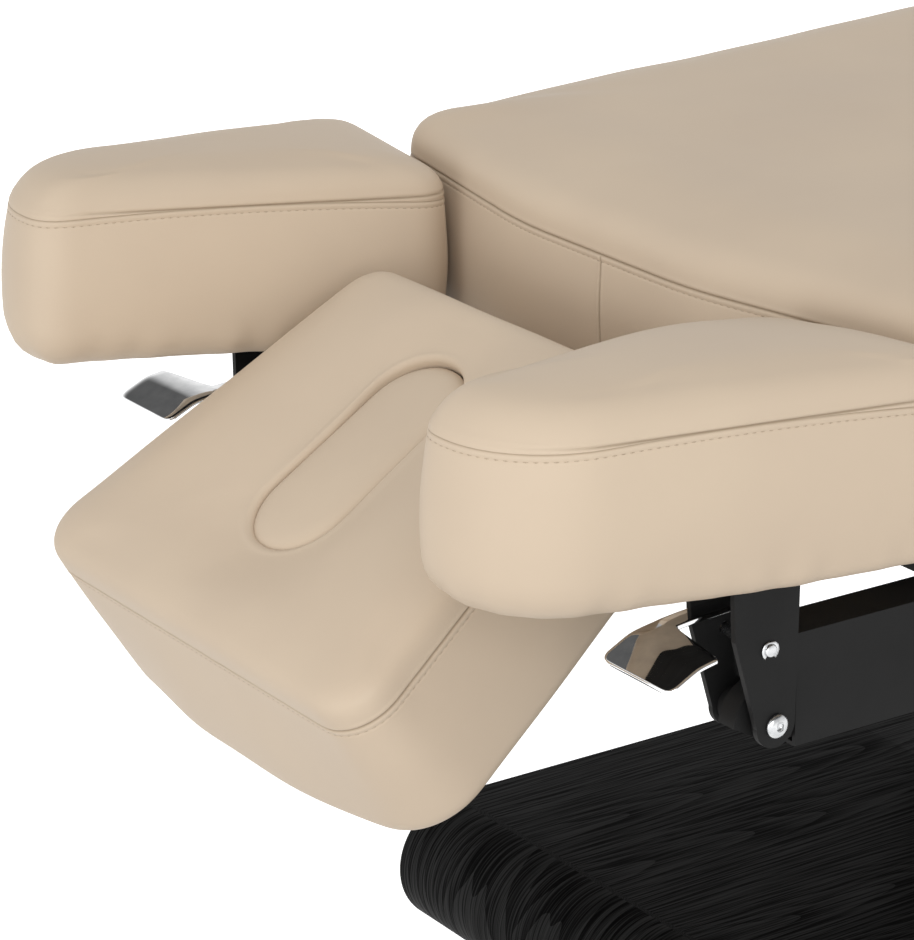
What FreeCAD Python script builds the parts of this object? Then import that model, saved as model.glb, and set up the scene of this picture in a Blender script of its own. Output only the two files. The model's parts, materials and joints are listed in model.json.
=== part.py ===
import FreeCAD, Part
import math
import os
import Sketcher
from FreeCAD import Placement, Rotation, Vector

# Electric facial bed, lying flat with its head section tipped down.
# Millimetres. +X runs from the head end to the foot end, +Z is up, +Y is the left side of
# someone lying on their back. The origin is on the floor under the middle of the base.

SIZES = (
    ("seam_height", 722),
    ("border", 130),
    ("back_rise", 28),
    ("crown", 42),
    ("board", 18),
    ("top_width", 704),
    ("head_end_x", -548),
    ("back_length", 742),
    ("seat_length", 328),
    ("leg_length", 389.6),
    ("cushion_gap", 10),
    ("hinge_radius", 100),
    ("hinge_drop", 30),
    ("plate", 6),
    ("pin_radius", 8),
    ("fit", 0.05),
    ("base_length", 1140),
    ("base_width", 520),
    ("base_thickness", 118),
    ("base_wall", 18),
    ("base_plate", 8),
    ("foot_height", 38),
    ("foot_radius", 28),
    ("foot_inset", 130),
    ("foot_side_inset", 66),
    ("control_length", 180),
    ("control_width", 240),
    ("control_height", 50),
    ("control_gap", 54),
    ("inlet_from_end", 170),
    ("inlet_width", 30),
    ("inlet_height", 22),
    ("inlet_depth", 30),
    ("inlet_wall", 3),
    ("column_spacing", 300),
    ("column_shift", 84),
    ("column_depth", 100),
    ("column_width", 180),
    ("column_wall", 4),
    ("column_step", 4),
    ("outer_length", 256),
    ("middle_length", 250),
    ("inner_length", 240),
    ("middle_rise", 68),
    ("column_plate", 10),
    ("chassis_height", 70),
    ("chassis_width", 40),
    ("chassis_offset", 190),
    ("seat_cross", 50),
    ("cross_tube", 42),
    ("leg_tube", 25),
    ("tube_wall", 2.5),
    ("rail_height", 89),
    ("rail_width", 40),
    ("rail_wall", 3),
    ("rail_face", 337),
    ("rail_lead", 70),
    ("crank_radius", 200),
    ("crank_nose", 15),
    ("crank_plate", 10),
    ("lane", 28),
    ("push_gap", 2.2),
    ("rod_radius", 12),
    ("rod_length", 245),
    ("drive_height", 58),
    ("drive_width", 140),
    ("drive_length", 240),
    ("drive_wall", 4),
    ("motor_radius", 27),
    ("motor_drop", 62),
    ("motor_spread", 35),
    ("head_length", 350),
    ("head_width", 462),
    ("head_taper", 63),
    ("head_border", 111),
    ("head_crown", 32),
    ("head_rise", 4),
    ("head_gap", 9),
    ("head_tilt", 34),
    ("head_board", 15),
    ("head_rim", 28),
    ("recess_gap", 0.5),
    ("head_pivot_x", 38),
    ("head_pivot_drop", 150),
    ("head_arm", 28),
    ("shaft_radius", 8),
    ("plug_length", 207),
    ("plug_width", 98),
    ("plug_from_front", 192),
    ("plug_gap", 1.5),
    ("plug_ledge", 9),
    ("plug_base", 9),
    ("arm_nose", 363),
    ("arm_inner", 210),
    ("arm_taper", 65),
    ("arm_outer", 384),
    ("arm_flare", 44),
    ("arm_lift", 6),
    ("arm_border", 127),
    ("arm_crown", 28),
    ("arm_board", 15),
    ("arm_rim", 26),
    ("arm_rim_inner", 12),
    ("arm_nose_round", 86),
    ("arm_foot_inner", -3),
    ("arm_foot_outer", 34),
    ("arm_tilt", 0.6),
    ("arm_tilt_left", 2.0),
    ("arm_pivot_x", -94.5),
    ("arm_pivot_drop", 253.5),
    ("bracket_outer", 340),
    ("bracket_inner", 288),
    ("bracket_plate", 5),
    ("bolt_radius", 6),
    ("spacer_radius", 14),
    ("drum_radius", 30),
    ("lever_pin_x", -103),
    ("lever_pin_drop", 193),
    ("lever_pin_radius", 5),
    ("lever_inner", 303),
    ("lever_neck", 19),
    ("lever_width", 82),
    ("lever_strip", 4.5),
)

doc = FreeCAD.newDocument("facial_bed")
sheet = doc.addObject("Spreadsheet::Sheet", "Sizes")
for row, (alias, number) in enumerate(SIZES, 1):
    sheet.set("A%d" % row, alias)
    sheet.set("B%d" % row, str(number))
    sheet.setAlias("B%d" % row, alias)
doc.recompute()


class Dim:
    """A length with its value in millimetres and its expression on the sheet."""

    def __init__(self, value, text):
        self.value = value
        self.text = text

    def joined(self, other, sign, flip=False):
        """This length and another joined by one arithmetic sign."""
        other = as_dim(other)
        first, second = (other, self) if flip else (self, other)
        if sign == "+":
            value = first.value + second.value
        elif sign == "-":
            value = first.value - second.value
        elif sign == "*":
            value = first.value * second.value
        else:
            value = first.value / second.value
        return Dim(value, "(%s %s %s)" % (first.text, sign, second.text))

    def __add__(self, other):
        return self.joined(other, "+")

    def __radd__(self, other):
        return self.joined(other, "+", True)

    def __sub__(self, other):
        return self.joined(other, "-")

    def __rsub__(self, other):
        return self.joined(other, "-", True)

    def __mul__(self, other):
        return self.joined(other, "*")

    def __rmul__(self, other):
        return self.joined(other, "*", True)

    def __truediv__(self, other):
        return self.joined(other, "/")

    def __neg__(self):
        return Dim(0.0, "0").joined(self, "-")


def as_dim(number):
    """A plain number as a length."""
    if isinstance(number, Dim):
        return number
    return Dim(float(number), repr(float(number)))


def size(alias):
    """The length in the sheet's cell of that name."""
    return Dim(float(getattr(sheet, alias)), "Sizes." + alias)


def bind(target, path, length):
    """Bind one property, or one member of a placement, to its expression."""
    target.setExpression(path, as_dim(length).text)


def place(target, x, y, z):
    """Bind the position of a primitive."""
    for axis, length in zip("xyz", (x, y, z)):
        bind(target, "Placement.Base." + axis, length)


def box(label, x, y, z, dx, dy, dz):
    """A block from its low corner and its three sides."""
    block = doc.addObject("Part::Box", label)
    bind(block, "Length", dx)
    bind(block, "Width", dy)
    bind(block, "Height", dz)
    place(block, x, y, z)
    return block


AXES = {
    "X": Rotation(Vector(0, 1, 0), 90),
    "Y": Rotation(Vector(1, 0, 0), -90),
    "Z": Rotation(),
}


def rod(label, axis, x, y, z, radius, length):
    """A cylinder from the middle of its low end, along one axis."""
    bar = doc.addObject("Part::Cylinder", label)
    bar.Placement = Placement(Vector(), AXES[axis])
    bind(bar, "Radius", radius)
    bind(bar, "Height", length)
    place(bar, x, y, z)
    return bar


def cut(label, base, tool):
    """One solid less another."""
    result = doc.addObject("Part::Cut", label)
    result.Base = base
    result.Tool = tool
    return result


def fuse(label, pieces):
    """Several touching solids welded into one."""
    result = doc.addObject("Part::MultiFuse", label)
    result.Shapes = pieces
    result.Refine = True
    return result


def group(label, pieces):
    """Separate solids of the same kind, kept as one piece of the list."""
    result = doc.addObject("Part::Compound", label)
    result.Links = pieces
    return result


def mirror(label, source):
    """The same piece on the other side of the bed."""
    result = doc.addObject("Part::Mirroring", label)
    result.Source = source
    result.Normal = Vector(0, 1, 0)
    return result


def tube(label, x, y, z, dx, dy, dz, wall, along):
    """A rectangular tube: a block less the block inside it, open along one axis."""
    low = {}
    side = {}
    for axis, start, span in zip("XYZ", (x, y, z), (dx, dy, dz)):
        if axis == along:
            low[axis] = start - 1.0
            side[axis] = span + 2.0
        else:
            low[axis] = start + wall
            side[axis] = span - 2.0 * wall
    outer = box(label + "_outer", x, y, z, dx, dy, dz)
    inner = box(label + "_inner", low["X"], low["Y"], low["Z"], side["X"], side["Y"], side["Z"])
    return cut(label, outer, inner)


def arc_between(start, end, radius):
    """The short arc from start to end: radius over 0 bends left, under 0 bends right."""
    chord = end - start
    side = Vector(-chord.y, chord.x, 0).normalize()
    rise = math.sqrt(max(radius * radius - chord.Length * chord.Length / 4.0, 0.0))
    centre = (start + end) * 0.5 + side * math.copysign(rise, radius)
    first = math.atan2(start.y - centre.y, start.x - centre.x)
    last = math.atan2(end.y - centre.y, end.x - centre.x)
    circle = Part.Circle(centre, Vector(0, 0, 1), abs(radius))
    if radius < 0:
        first, last = last, first
    return Part.ArcOfCircle(circle, first, last)


def sketch_on(body, plane, offset, name):
    """An empty sketch of the body, on one of its planes moved along the plane's normal."""
    sketch = body.newObject("Sketcher::SketchObject", name)
    support = [item for item in body.Origin.OriginFeatures if item.Role == plane][0]
    sketch.AttachmentSupport = [(support, "")]
    sketch.MapMode = "FlatFace"
    bind(sketch, "AttachmentOffset.Base.z", offset)
    return sketch


def fix_point(sketch, geometry, point, x, y):
    """Bind one point of a sketch to its distances from the sketch's origin."""
    for kind, length in (("DistanceX", x), ("DistanceY", y)):
        length = as_dim(length)
        number = sketch.addConstraint(
            Sketcher.Constraint(kind, -1, 1, geometry, point, length.value))
        bind(sketch, "Constraints[%d]" % number, length)


def outline(sketch, path):
    """Draw a closed loop. Each point is (x, y) or (x, y, radius of the arc to the next)."""
    points = [Vector(as_dim(node[0]).value, as_dim(node[1]).value, 0) for node in path]
    ends = []
    for index, node in enumerate(path):
        start = points[index]
        end = points[(index + 1) % len(path)]
        if len(node) == 3:
            radius = as_dim(node[2])
            geometry = sketch.addGeometry(arc_between(start, end, radius.value), False)
            ends.append((geometry, 2, 1) if radius.value < 0 else (geometry, 1, 2))
        else:
            geometry = sketch.addGeometry(Part.LineSegment(start, end), False)
            ends.append((geometry, 1, 2))
    for index, node in enumerate(path):
        geometry, first, last = ends[index]
        following, next_first, _ = ends[(index + 1) % len(path)]
        sketch.addConstraint(
            Sketcher.Constraint("Coincident", geometry, last, following, next_first))
        fix_point(sketch, geometry, first, node[0], node[1])
        if len(node) == 3:
            radius = as_dim(node[2])
            bend = -radius if radius.value < 0 else radius
            number = sketch.addConstraint(Sketcher.Constraint("Radius", geometry, bend.value))
            bind(sketch, "Constraints[%d]" % number, bend)


def circle(sketch, x, y, radius):
    """Draw a circle bound to its middle and its radius."""
    x = as_dim(x)
    y = as_dim(y)
    radius = as_dim(radius)
    ring = Part.Circle(Vector(x.value, y.value, 0), Vector(0, 0, 1), radius.value)
    geometry = sketch.addGeometry(ring, False)
    fix_point(sketch, geometry, 3, x, y)
    number = sketch.addConstraint(Sketcher.Constraint("Radius", geometry, radius.value))
    bind(sketch, "Constraints[%d]" % number, radius)


def rounded(x0, x1, y0, y1, radius):
    """A rectangle with four round corners, as a path."""
    return (
        (x0 + radius, y0),
        (x1 - radius, y0, radius),
        (x1, y0 + radius),
        (x1, y1 - radius, radius),
        (x1 - radius, y1),
        (x0 + radius, y1, radius),
        (x0, y1 - radius),
        (x0, y0 + radius, radius),
    )


def bullnose(x0, x1, z0, z1):
    """A slab's long section with both ends half round, as a path of quarter arcs."""
    radius = (z1 - z0) / 2.0
    middle = (z0 + z1) / 2.0
    return (
        (x0 + radius, z0),
        (x1 - radius, z0, radius),
        (x1, middle, radius),
        (x1 - radius, z1),
        (x0 + radius, z1, radius),
        (x0, middle, radius),
    )


def padded_body(label, plane, path, offset, length, symmetric=False):
    """A body made by padding one closed outline."""
    body = doc.addObject("PartDesign::Body", label)
    add_pad(body, plane, path, offset, length, symmetric)
    return body


def add_pad(body, plane, path, offset, length, symmetric=False):
    """Another pad on the body."""
    number = len(body.Group)
    sketch = sketch_on(body, plane, offset, "%s_sketch_%d" % (body.Name, number))
    outline(sketch, path)
    pad = body.newObject("PartDesign::Pad", "%s_pad_%d" % (body.Name, number))
    pad.Profile = sketch
    bind(pad, "Length", length)
    if symmetric:
        pad.SideType = "Symmetric"


def add_pocket(body, plane, drawing, offset=0.0):
    """A pocket right through the body, both ways from its sketch."""
    number = len(body.Group)
    sketch = sketch_on(body, plane, offset, "%s_sketch_%d" % (body.Name, number))
    if len(drawing) == 3:
        circle(sketch, *drawing)
    else:
        outline(sketch, drawing)
    pocket = body.newObject("PartDesign::Pocket", "%s_pocket_%d" % (body.Name, number))
    pocket.Profile = sketch
    pocket.Type = "ThroughAll"
    pocket.SideType = "Symmetric"


def tilt(target, x, z, angle):
    """Turn a finished piece about the cross axis through (x, z); a positive angle lifts the head end."""
    turn = as_dim(angle)
    target.Placement = Placement(Vector(), Rotation(Vector(0, 1, 0), turn.value))
    bind(target, "Placement.Rotation.Angle", turn)
    cosine = Dim(math.cos(math.radians(turn.value)), "cos(%s * 1 deg)" % turn.text)
    sine = Dim(math.sin(math.radians(turn.value)), "sin(%s * 1 deg)" % turn.text)
    place(target, x - x * cosine - z * sine, 0.0, z + x * sine - z * cosine)


def round_wire(corners, height, lean, pivot):
    """A closed wire of lines and corner arcs, leaning about the cross line at x = pivot."""
    count = len(corners)
    arcs = []
    for index, (x, y, radius) in enumerate(corners):
        corner = Vector(x, y, 0)
        before = Vector(corners[index - 1][0], corners[index - 1][1], 0) - corner
        after = Vector(corners[(index + 1) % count][0], corners[(index + 1) % count][1], 0) - corner
        before.normalize()
        after.normalize()
        half = before.getAngle(after) / 2.0
        inward = (before + after).normalize()
        centre = corner + inward * (radius / math.sin(half))
        reach = radius / math.tan(half)
        arcs.append((corner + before * reach, centre - inward * radius, corner + after * reach))
    edges = []
    for index, (start, middle, end) in enumerate(arcs):
        edges.append(Part.Arc(start, middle, end).toShape())
        edges.append(Part.LineSegment(end, arcs[(index + 1) % count][0]).toShape())
    wire = Part.Wire(edges)
    wire.rotate(Vector(pivot, 0, 0), Vector(0, 1, 0), -math.degrees(math.atan(lean)))
    wire.translate(Vector(0, 0, height))
    return wire


def inset(corners, steps):
    """Move each edge of a loop inward by its own step and keep the corners round."""
    count = len(corners)
    lines = []
    for index, (x, y, _) in enumerate(corners):
        following = corners[(index + 1) % count]
        along = Vector(following[0] - x, following[1] - y, 0).normalize()
        normal = Vector(-along.y, along.x, 0)
        lines.append((Vector(x, y, 0) + normal * steps[index], along))
    moved = []
    for index, (_, _, radius) in enumerate(corners):
        point, along = lines[index - 1]
        other, across = lines[index]
        gap = other - point
        share = (gap.x * across.y - gap.y * across.x) / (along.x * across.y - along.y * across.x)
        spot = point + along * share
        less = min(steps[index - 1], steps[index])
        moved.append((spot.x, spot.y, max(radius - less, 6.0)))
    return moved


# Share of the border's height, inset of the side there, and how much of the top's lean it takes.
SIDE_LEVELS = ((0.0, 12.0, 0.0), (0.05, 4.5, 0.0), (0.22, 1.5, 0.2), (0.55, 0.0, 0.55), (0.93, 1.8, 1.0))
# Share of the crown's height and inset of the top there.
CROWN_LEVELS = (
    (0.0, 0.0), (0.30, 2.0), (0.58, 6.5), (0.78, 14.0), (0.90, 28.0), (0.97, 52.0), (1.0, 86.0))


def cushion_levels(border, crown, spread):
    """(height over the seam, inset, share of the lean) from the underside to the crown."""
    sides = [(-border * (1.0 - share), step, lean) for share, step, lean in SIDE_LEVELS]
    tops = [(crown * share, step * spread, 1.0) for share, step in CROWN_LEVELS]
    return sides + tops


def cushion(label, corners, seam, border, crown, spread=1.0, lean=0.0, pivot=0.0, ends=None):
    """A covered foam block: drawn in under the seam and at the bottom, crowned above it.

    ends gives the inset of single edges as {edge: function of (height, usual inset)}.
    """
    wires = []
    for height, step, share in cushion_levels(border, crown, spread):
        steps = [step] * len(corners)
        for edge, rule in (ends or {}).items():
            steps[edge] = rule(height, step)
        wires.append(round_wire(inset(corners, steps), seam + height, lean * share, pivot))
    piece = doc.addObject("Part::Feature", label)
    piece.Shape = Part.makeLoft(wires, True, True)
    return piece


# Levels and stations that several pieces share
seam = size("seam_height")
head_x = size("head_end_x")
bottom = seam - size("border")
board_z = bottom - size("board")
cross_z = board_z - size("cross_tube")
leg_cross_z = board_z - size("leg_tube")
rail_z = cross_z - size("rail_height")
chassis_top = board_z - size("seat_cross")
chassis_z = chassis_top - size("chassis_height")
hinge_z = seam - size("hinge_drop")
hip_x = head_x + size("back_length") - size("hinge_radius")
seat_x = head_x + size("back_length") + size("cushion_gap")
seat_end = seat_x + size("seat_length")
leg_x = seat_end + size("cushion_gap")
leg_end = leg_x + size("leg_length")
knee_x = leg_x + size("hinge_radius")
half_top = size("top_width") / 2.0
arm_face = half_top + 4.0
plate_face = arm_face + size("plate") + 1.0
nodes = []


def node(piece):
    """Keep a finished piece for the list of sub-parts."""
    nodes.append(piece)
    return piece


# Base: a veneered slab with half-round ends, hollow, on rubber feet
base_z = size("foot_height")
base_top = base_z + size("base_thickness")
half_base = size("base_length") / 2.0
wall = size("base_wall")
half_width = size("base_width") / 2.0
column_x = (
    size("column_shift") - size("column_spacing") / 2.0,
    size("column_shift") + size("column_spacing") / 2.0)
column_names = ("head", "foot")

wrap = padded_body(
    "base_wrap", "XZ_Plane", bullnose(-half_base, half_base, base_z, base_top),
    0.0, size("base_width"), True)
add_pocket(
    wrap, "XZ_Plane",
    bullnose(-half_base + wall, half_base - wall, base_z + wall, base_top - wall))
hole_depth = size("column_depth") / 2.0 + 1.0
hole_width = size("column_width") / 2.0 + 1.0
for name, x in zip(column_names, column_x):
    number = len(wrap.Group)
    sketch = sketch_on(wrap, "XY_Plane", base_top, "wrap_hole_" + name)
    outline(sketch, rounded(x - hole_depth, x + hole_depth, -hole_width, hole_width, 2.0))
    pocket = wrap.newObject("PartDesign::Pocket", "wrap_opening_" + name)
    pocket.Profile = sketch
    bind(pocket, "Length", wall + 4.0)
node(wrap)

inlet_x = half_base - size("inlet_from_end")
inlet_z = base_z + size("base_thickness") / 2.0
half_inlet = size("inlet_width") / 2.0
inlet_rise = size("inlet_height") / 2.0
inner_profile = bullnose(-half_base + wall, half_base - wall, base_z + wall, base_top - wall)
panel_right = padded_body("panel_right", "XZ_Plane", inner_profile, half_width - wall, wall)
panel_left = padded_body("panel_left", "XZ_Plane", inner_profile, -half_width, wall)
add_pocket(
    panel_left, "XZ_Plane",
    rounded(
        inlet_x - half_inlet - 1.0, inlet_x + half_inlet + 1.0,
        inlet_z - inlet_rise - 1.0, inlet_z + inlet_rise + 1.0, 2.0),
    -half_width)
node(group("base_side_panels", [panel_left, panel_right]))

floor_z = base_z + wall + size("base_plate")
node(box(
    "base_floor_plate", -half_base + 80.0, -half_width + wall + 6.0, base_z + wall,
    size("base_length") - 160.0, size("base_width") - 2.0 * wall - 12.0, size("base_plate")))

feet = []
for number, (share_x, share_y) in enumerate(((-1, -1), (0, -1), (1, -1), (-1, 1), (0, 1), (1, 1))):
    feet.append(rod(
        "foot_%d" % number, "Z", share_x * (half_base - size("foot_inset")),
        share_y * (half_width - size("foot_side_inset")), 0.0,
        size("foot_radius"), base_z))
node(group("base_feet", feet))

control_end = column_x[0] - size("column_depth") / 2.0 - size("control_gap")
node(box(
    "control_box", control_end - size("control_length"), -size("control_width") / 2.0, floor_z,
    size("control_length"), size("control_width"), size("control_height")))

inlet_wall = size("inlet_wall")
inlet_depth = size("inlet_depth")
flange_x = half_inlet + 3.0 * inlet_wall
flange_z = inlet_rise + 5.0 * inlet_wall / 3.0
inlet_flange = box(
    "inlet_flange", inlet_x - flange_x, half_width, inlet_z - flange_z,
    2.0 * flange_x, inlet_wall, 2.0 * flange_z)
inlet_body = box(
    "inlet_body", inlet_x - half_inlet, half_width - inlet_depth, inlet_z - inlet_rise,
    2.0 * half_inlet, inlet_depth, 2.0 * inlet_rise)
recess_x = half_inlet - inlet_wall
recess_z = inlet_rise - inlet_wall
recess_floor = half_width - inlet_depth / 2.0
inlet_recess = box(
    "inlet_recess", inlet_x - recess_x, recess_floor, inlet_z - recess_z,
    2.0 * recess_x, inlet_depth, 2.0 * recess_z)
inlet_shell = cut("inlet_shell", fuse("inlet_block", [inlet_flange, inlet_body]), inlet_recess)
contacts = []
for number, (share, rise) in enumerate(((-0.58, -0.375), (0.0, 0.25), (0.58, -0.375))):
    contacts.append(box(
        "inlet_contact_%d" % number, inlet_x + share * recess_x - 1.0, recess_floor,
        inlet_z + rise * recess_z - 2.0, 2.0, 0.4 * inlet_depth, 4.0))
node(fuse("mains_inlet", [inlet_shell] + contacts))

# Lifting columns: three nested square tubes each, with glide pads between them
step = size("column_wall") + size("column_step")
stage_plate = chassis_z - size("column_plate")
inner_bottom = stage_plate - size("inner_length")
middle_bottom = floor_z + size("middle_rise")
glides_lower = []
glides_upper = []
for name, x in zip(column_names, column_x):
    spans = []
    for stage in range(3):
        depth = size("column_depth") - 2.0 * stage * step
        width = size("column_width") - 2.0 * stage * step
        spans.append((depth, width))
    depth, width = spans[0]
    node(tube(
        "column_outer_" + name, x - depth / 2.0, -width / 2.0, floor_z,
        depth, width, size("outer_length"), size("column_wall"), "Z"))
    depth, width = spans[1]
    node(tube(
        "column_middle_" + name, x - depth / 2.0, -width / 2.0, middle_bottom,
        depth, width, size("middle_length"), size("column_wall"), "Z"))
    depth, width = spans[2]
    stem = tube(
        "column_stem_" + name, x - depth / 2.0, -width / 2.0, inner_bottom,
        depth, width, size("inner_length"), size("column_wall"), "Z")
    reach = size("chassis_offset") + size("chassis_width")
    top = box(
        "column_top_" + name, x - 60.0, -reach, stage_plate, 120.0, 2.0 * reach, size("column_plate"))
    node(fuse("column_inner_" + name, [stem, top]))
    pad = size("column_step") - size("fit")
    for pads, stage, height, title in (
            (glides_lower, 1, floor_z + size("outer_length") - 44.0, "lower"),
            (glides_upper, 2, middle_bottom + size("middle_length") - 44.0, "upper")):
        depth, width = spans[stage]
        tag = "glide_%s_%s_" % (title, name)
        near = x - depth / 2.0 - size("column_step")
        pads.append(box(tag + "a", near, -width / 4.0, height, pad, width / 2.0, 40.0))
        far = x + depth / 2.0 + size("fit")
        pads.append(box(tag + "b", far, -width / 4.0, height, pad, width / 2.0, 40.0))
        low = -width / 2.0 - size("column_step")
        pads.append(box(tag + "c", x - depth / 4.0, low, height, depth / 2.0, pad, 40.0))
        high = width / 2.0 + size("fit")
        pads.append(box(tag + "d", x - depth / 4.0, high, height, depth / 2.0, pad, 40.0))
node(group("column_glides_lower", glides_lower))
node(group("column_glides_upper", glides_upper))

# Chassis under the seat, with the drive and the side plates that carry the hinges
chassis_start = head_x + 260.0
chassis_span = seat_end - 20.0 - chassis_start
rail = tube(
    "chassis_rail_right", chassis_start, -size("chassis_offset") - size("chassis_width"), chassis_z,
    chassis_span, size("chassis_width"), size("chassis_height"), size("rail_wall"), "X")
node(rail)
node(mirror("chassis_rail_left", rail))

drive_x = seat_x + 48.0
cross_pieces = []
for number, x in enumerate((drive_x, drive_x + size("drive_length") - 60.0)):
    cross_pieces.append(tube(
        "seat_cross_%d" % number, x, -plate_face, chassis_top,
        40.0, 2.0 * plate_face, size("seat_cross"), size("tube_wall"), "Y"))
node(group("seat_cross_tubes", cross_pieces))

boss = size("pin_radius") + 22.0
side_path = (
    (seat_x + 30.0, chassis_top),
    (seat_end - 30.0, chassis_top),
    (knee_x + boss, hinge_z, boss),
    (knee_x, hinge_z + boss),
    (hip_x, hinge_z + boss, boss),
    (hip_x - boss, hinge_z),
)
side_plate = padded_body(
    "seat_side_plate_right", "XZ_Plane", side_path, plate_face, size("plate"))
for x in (hip_x, knee_x):
    add_pocket(side_plate, "XZ_Plane", (x, hinge_z, size("pin_radius") + 0.02), plate_face)
node(side_plate)
node(mirror("seat_side_plate_left", side_plate))

pins = []
for tag, x in (("hip", hip_x), ("knee", knee_x)):
    shank = rod(
        "pin_shank_" + tag, "Y", x, -plate_face - size("plate"), hinge_z,
        size("pin_radius"), size("plate") * 2.0 + 1.5)
    head = rod(
        "pin_head_" + tag, "Y", x, -plate_face - size("plate") - 7.0, hinge_z,
        size("pin_radius") + 9.0, 7.0)
    socket = rod(
        "pin_socket_" + tag, "Y", x, -plate_face - size("plate") - 8.0, hinge_z, 5.0, 5.0)
    pin = cut("pin_%s_right" % tag, fuse("pin_whole_" + tag, [shank, head]), socket)
    pins.append(pin)
    pins.append(mirror("pin_%s_left" % tag, pin))
node(group("hinge_pins", pins))

board_half = half_top - 22.0
seat_board = padded_body(
    "seat_board", "XY_Plane",
    rounded(seat_x + 8.0, seat_end - 8.0, -board_half, board_half, 20.0), board_z, size("board"))
node(seat_board)

drive_bottom = chassis_top - size("drive_height")
lane_z = hinge_z - size("crank_radius") * (0.5 + math.cos(math.radians(30.0)) / 2.0)
half_drive = size("drive_width") / 2.0
casing_outer = box(
    "casing_outer", drive_x, -half_drive, drive_bottom,
    size("drive_length"), size("drive_width"), size("drive_height"))
casing_inner = box(
    "casing_inner", drive_x + size("drive_wall"), -half_drive + size("drive_wall"),
    drive_bottom + size("drive_wall"), size("drive_length") - 2.0 * size("drive_wall"),
    size("drive_width") - 2.0 * size("drive_wall"), size("drive_height") - 2.0 * size("drive_wall"))
casing_shell = cut("casing_shell", casing_outer, casing_inner)
lane_back = rod(
    "lane_back", "X", drive_x - 5.0, -size("lane"), lane_z, size("rod_radius") + 0.5, 20.0)
lane_leg = rod(
    "lane_leg", "X", drive_x + size("drive_length") - 15.0, size("lane"), lane_z,
    size("rod_radius") + 0.5, 20.0)
casing_one = cut("casing_one", casing_shell, lane_back)
node(cut("drive_casing", casing_one, lane_leg))

motors = []
drive_middle = drive_x + size("drive_length") / 2.0 + 10.0
spread = size("motor_spread")
for number, (x, y) in enumerate((
        (drive_middle - spread, -size("lane")), (drive_middle + spread, size("lane")))):
    motors.append(rod(
        "motor_%d" % number, "Z", x, y, drive_bottom - size("motor_drop"),
        size("motor_radius"), size("motor_drop")))
node(group("drive_motors", motors))

nose_step = size("crank_radius") * 0.5
nose_z = hinge_z - size("crank_radius") * math.cos(math.radians(30.0))


def pusher(label, face, y, sign):
    """A push rod with a flat pad; sign is the way that it pushes along X."""
    pad_thick = 12.0
    pad_low = lane_z - 25.0
    pad_high = nose_z + 2.5
    start = face if sign < 0 else face - pad_thick
    pad = box(label + "_pad", start, y - 20.0, pad_low, pad_thick, 40.0, pad_high - pad_low)
    root = face + pad_thick if sign < 0 else face - pad_thick - size("rod_length")
    bar = rod(label + "_rod", "X", root, y, lane_z, size("rod_radius"), size("rod_length"))
    return node(fuse(label, [pad, bar]))


pusher("back_pusher", hip_x + nose_step + size("crank_nose") + size("push_gap"), -size("lane"), -1)
pusher("leg_pusher", knee_x + nose_step - size("crank_nose") - size("push_gap"), size("lane"), 1)

# Back section: two channels under three cross tubes, a board and the cushion
rail_start = head_x - size("rail_lead")
rail_span = size("rail_lead") + size("back_length") - size("hinge_radius") - 20.0
face = size("rail_face")
channel_outer = box(
    "channel_outer", rail_start, -face, rail_z, rail_span, size("rail_width"), size("rail_height"))
channel_inner = box(
    "channel_inner", rail_start - 1.0, -face + size("rail_wall"), rail_z + size("rail_wall"),
    rail_span + 2.0, size("rail_width"), size("rail_height") - 2.0 * size("rail_wall"))
channel = cut("back_rail_right", channel_outer, channel_inner)
node(channel)
node(mirror("back_rail_left", channel))

first_cross = head_x + 80.0
board_start = head_x + 60.0
back_cross = []
for number, (x, reach) in enumerate((
        (first_cross, face), (head_x + 350.0, face), (hip_x - 62.0, arm_face))):
    back_cross.append(tube(
        "back_cross_%d" % number, x, -reach, cross_z,
        size("cross_tube"), 2.0 * reach, size("cross_tube"), size("tube_wall"), "Y"))
node(group("back_cross_tubes", back_cross))

back_board = padded_body(
    "back_board", "XY_Plane",
    rounded(board_start, hip_x - 10.0, -board_half, board_half, 30.0), board_z, size("board"))
node(back_board)


def hinge_arms(label, x, low, foot_low, foot_high):
    """A pair of plates from a cross tube's ends up to the hinge pins."""
    eye = size("pin_radius") + 18.0
    if foot_low.value < x.value:
        path = (
            (foot_low, low - 4.0),
            (foot_high, low - 4.0),
            (x + eye, hinge_z, eye),
            (x, hinge_z + eye, eye),
            (x - eye, hinge_z),
            (foot_low, board_z),
        )
    else:
        path = (
            (foot_low, low - 4.0),
            (foot_high, low - 4.0),
            (foot_high, board_z),
            (x + eye, hinge_z, eye),
            (x, hinge_z + eye, eye),
            (x - eye, hinge_z),
        )
    right = padded_body(label + "_right", "XZ_Plane", path, arm_face, size("plate"))
    add_pocket(right, "XZ_Plane", (x, hinge_z, size("pin_radius") + size("fit")), arm_face)
    return node(group(label, [right, mirror(label + "_left", right)]))


hinge_arms("back_hip_arms", hip_x, cross_z, hip_x - 70.0, hip_x - 30.0)

nose = size("crank_nose")
half_crank = size("crank_plate") / 2.0
back_nose = hip_x + nose_step
back_crank = padded_body(
    "back_crank", "XZ_Plane",
    (
        (hip_x - 72.0, cross_z),
        (hip_x - 66.0, cross_z - 26.0),
        (back_nose, nose_z - nose, nose),
        (back_nose + nose, nose_z, nose),
        (back_nose, nose_z + nose),
        (hip_x - 10.0, cross_z),
    ),
    size("lane") - half_crank, size("crank_plate"))
node(back_crank)

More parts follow.
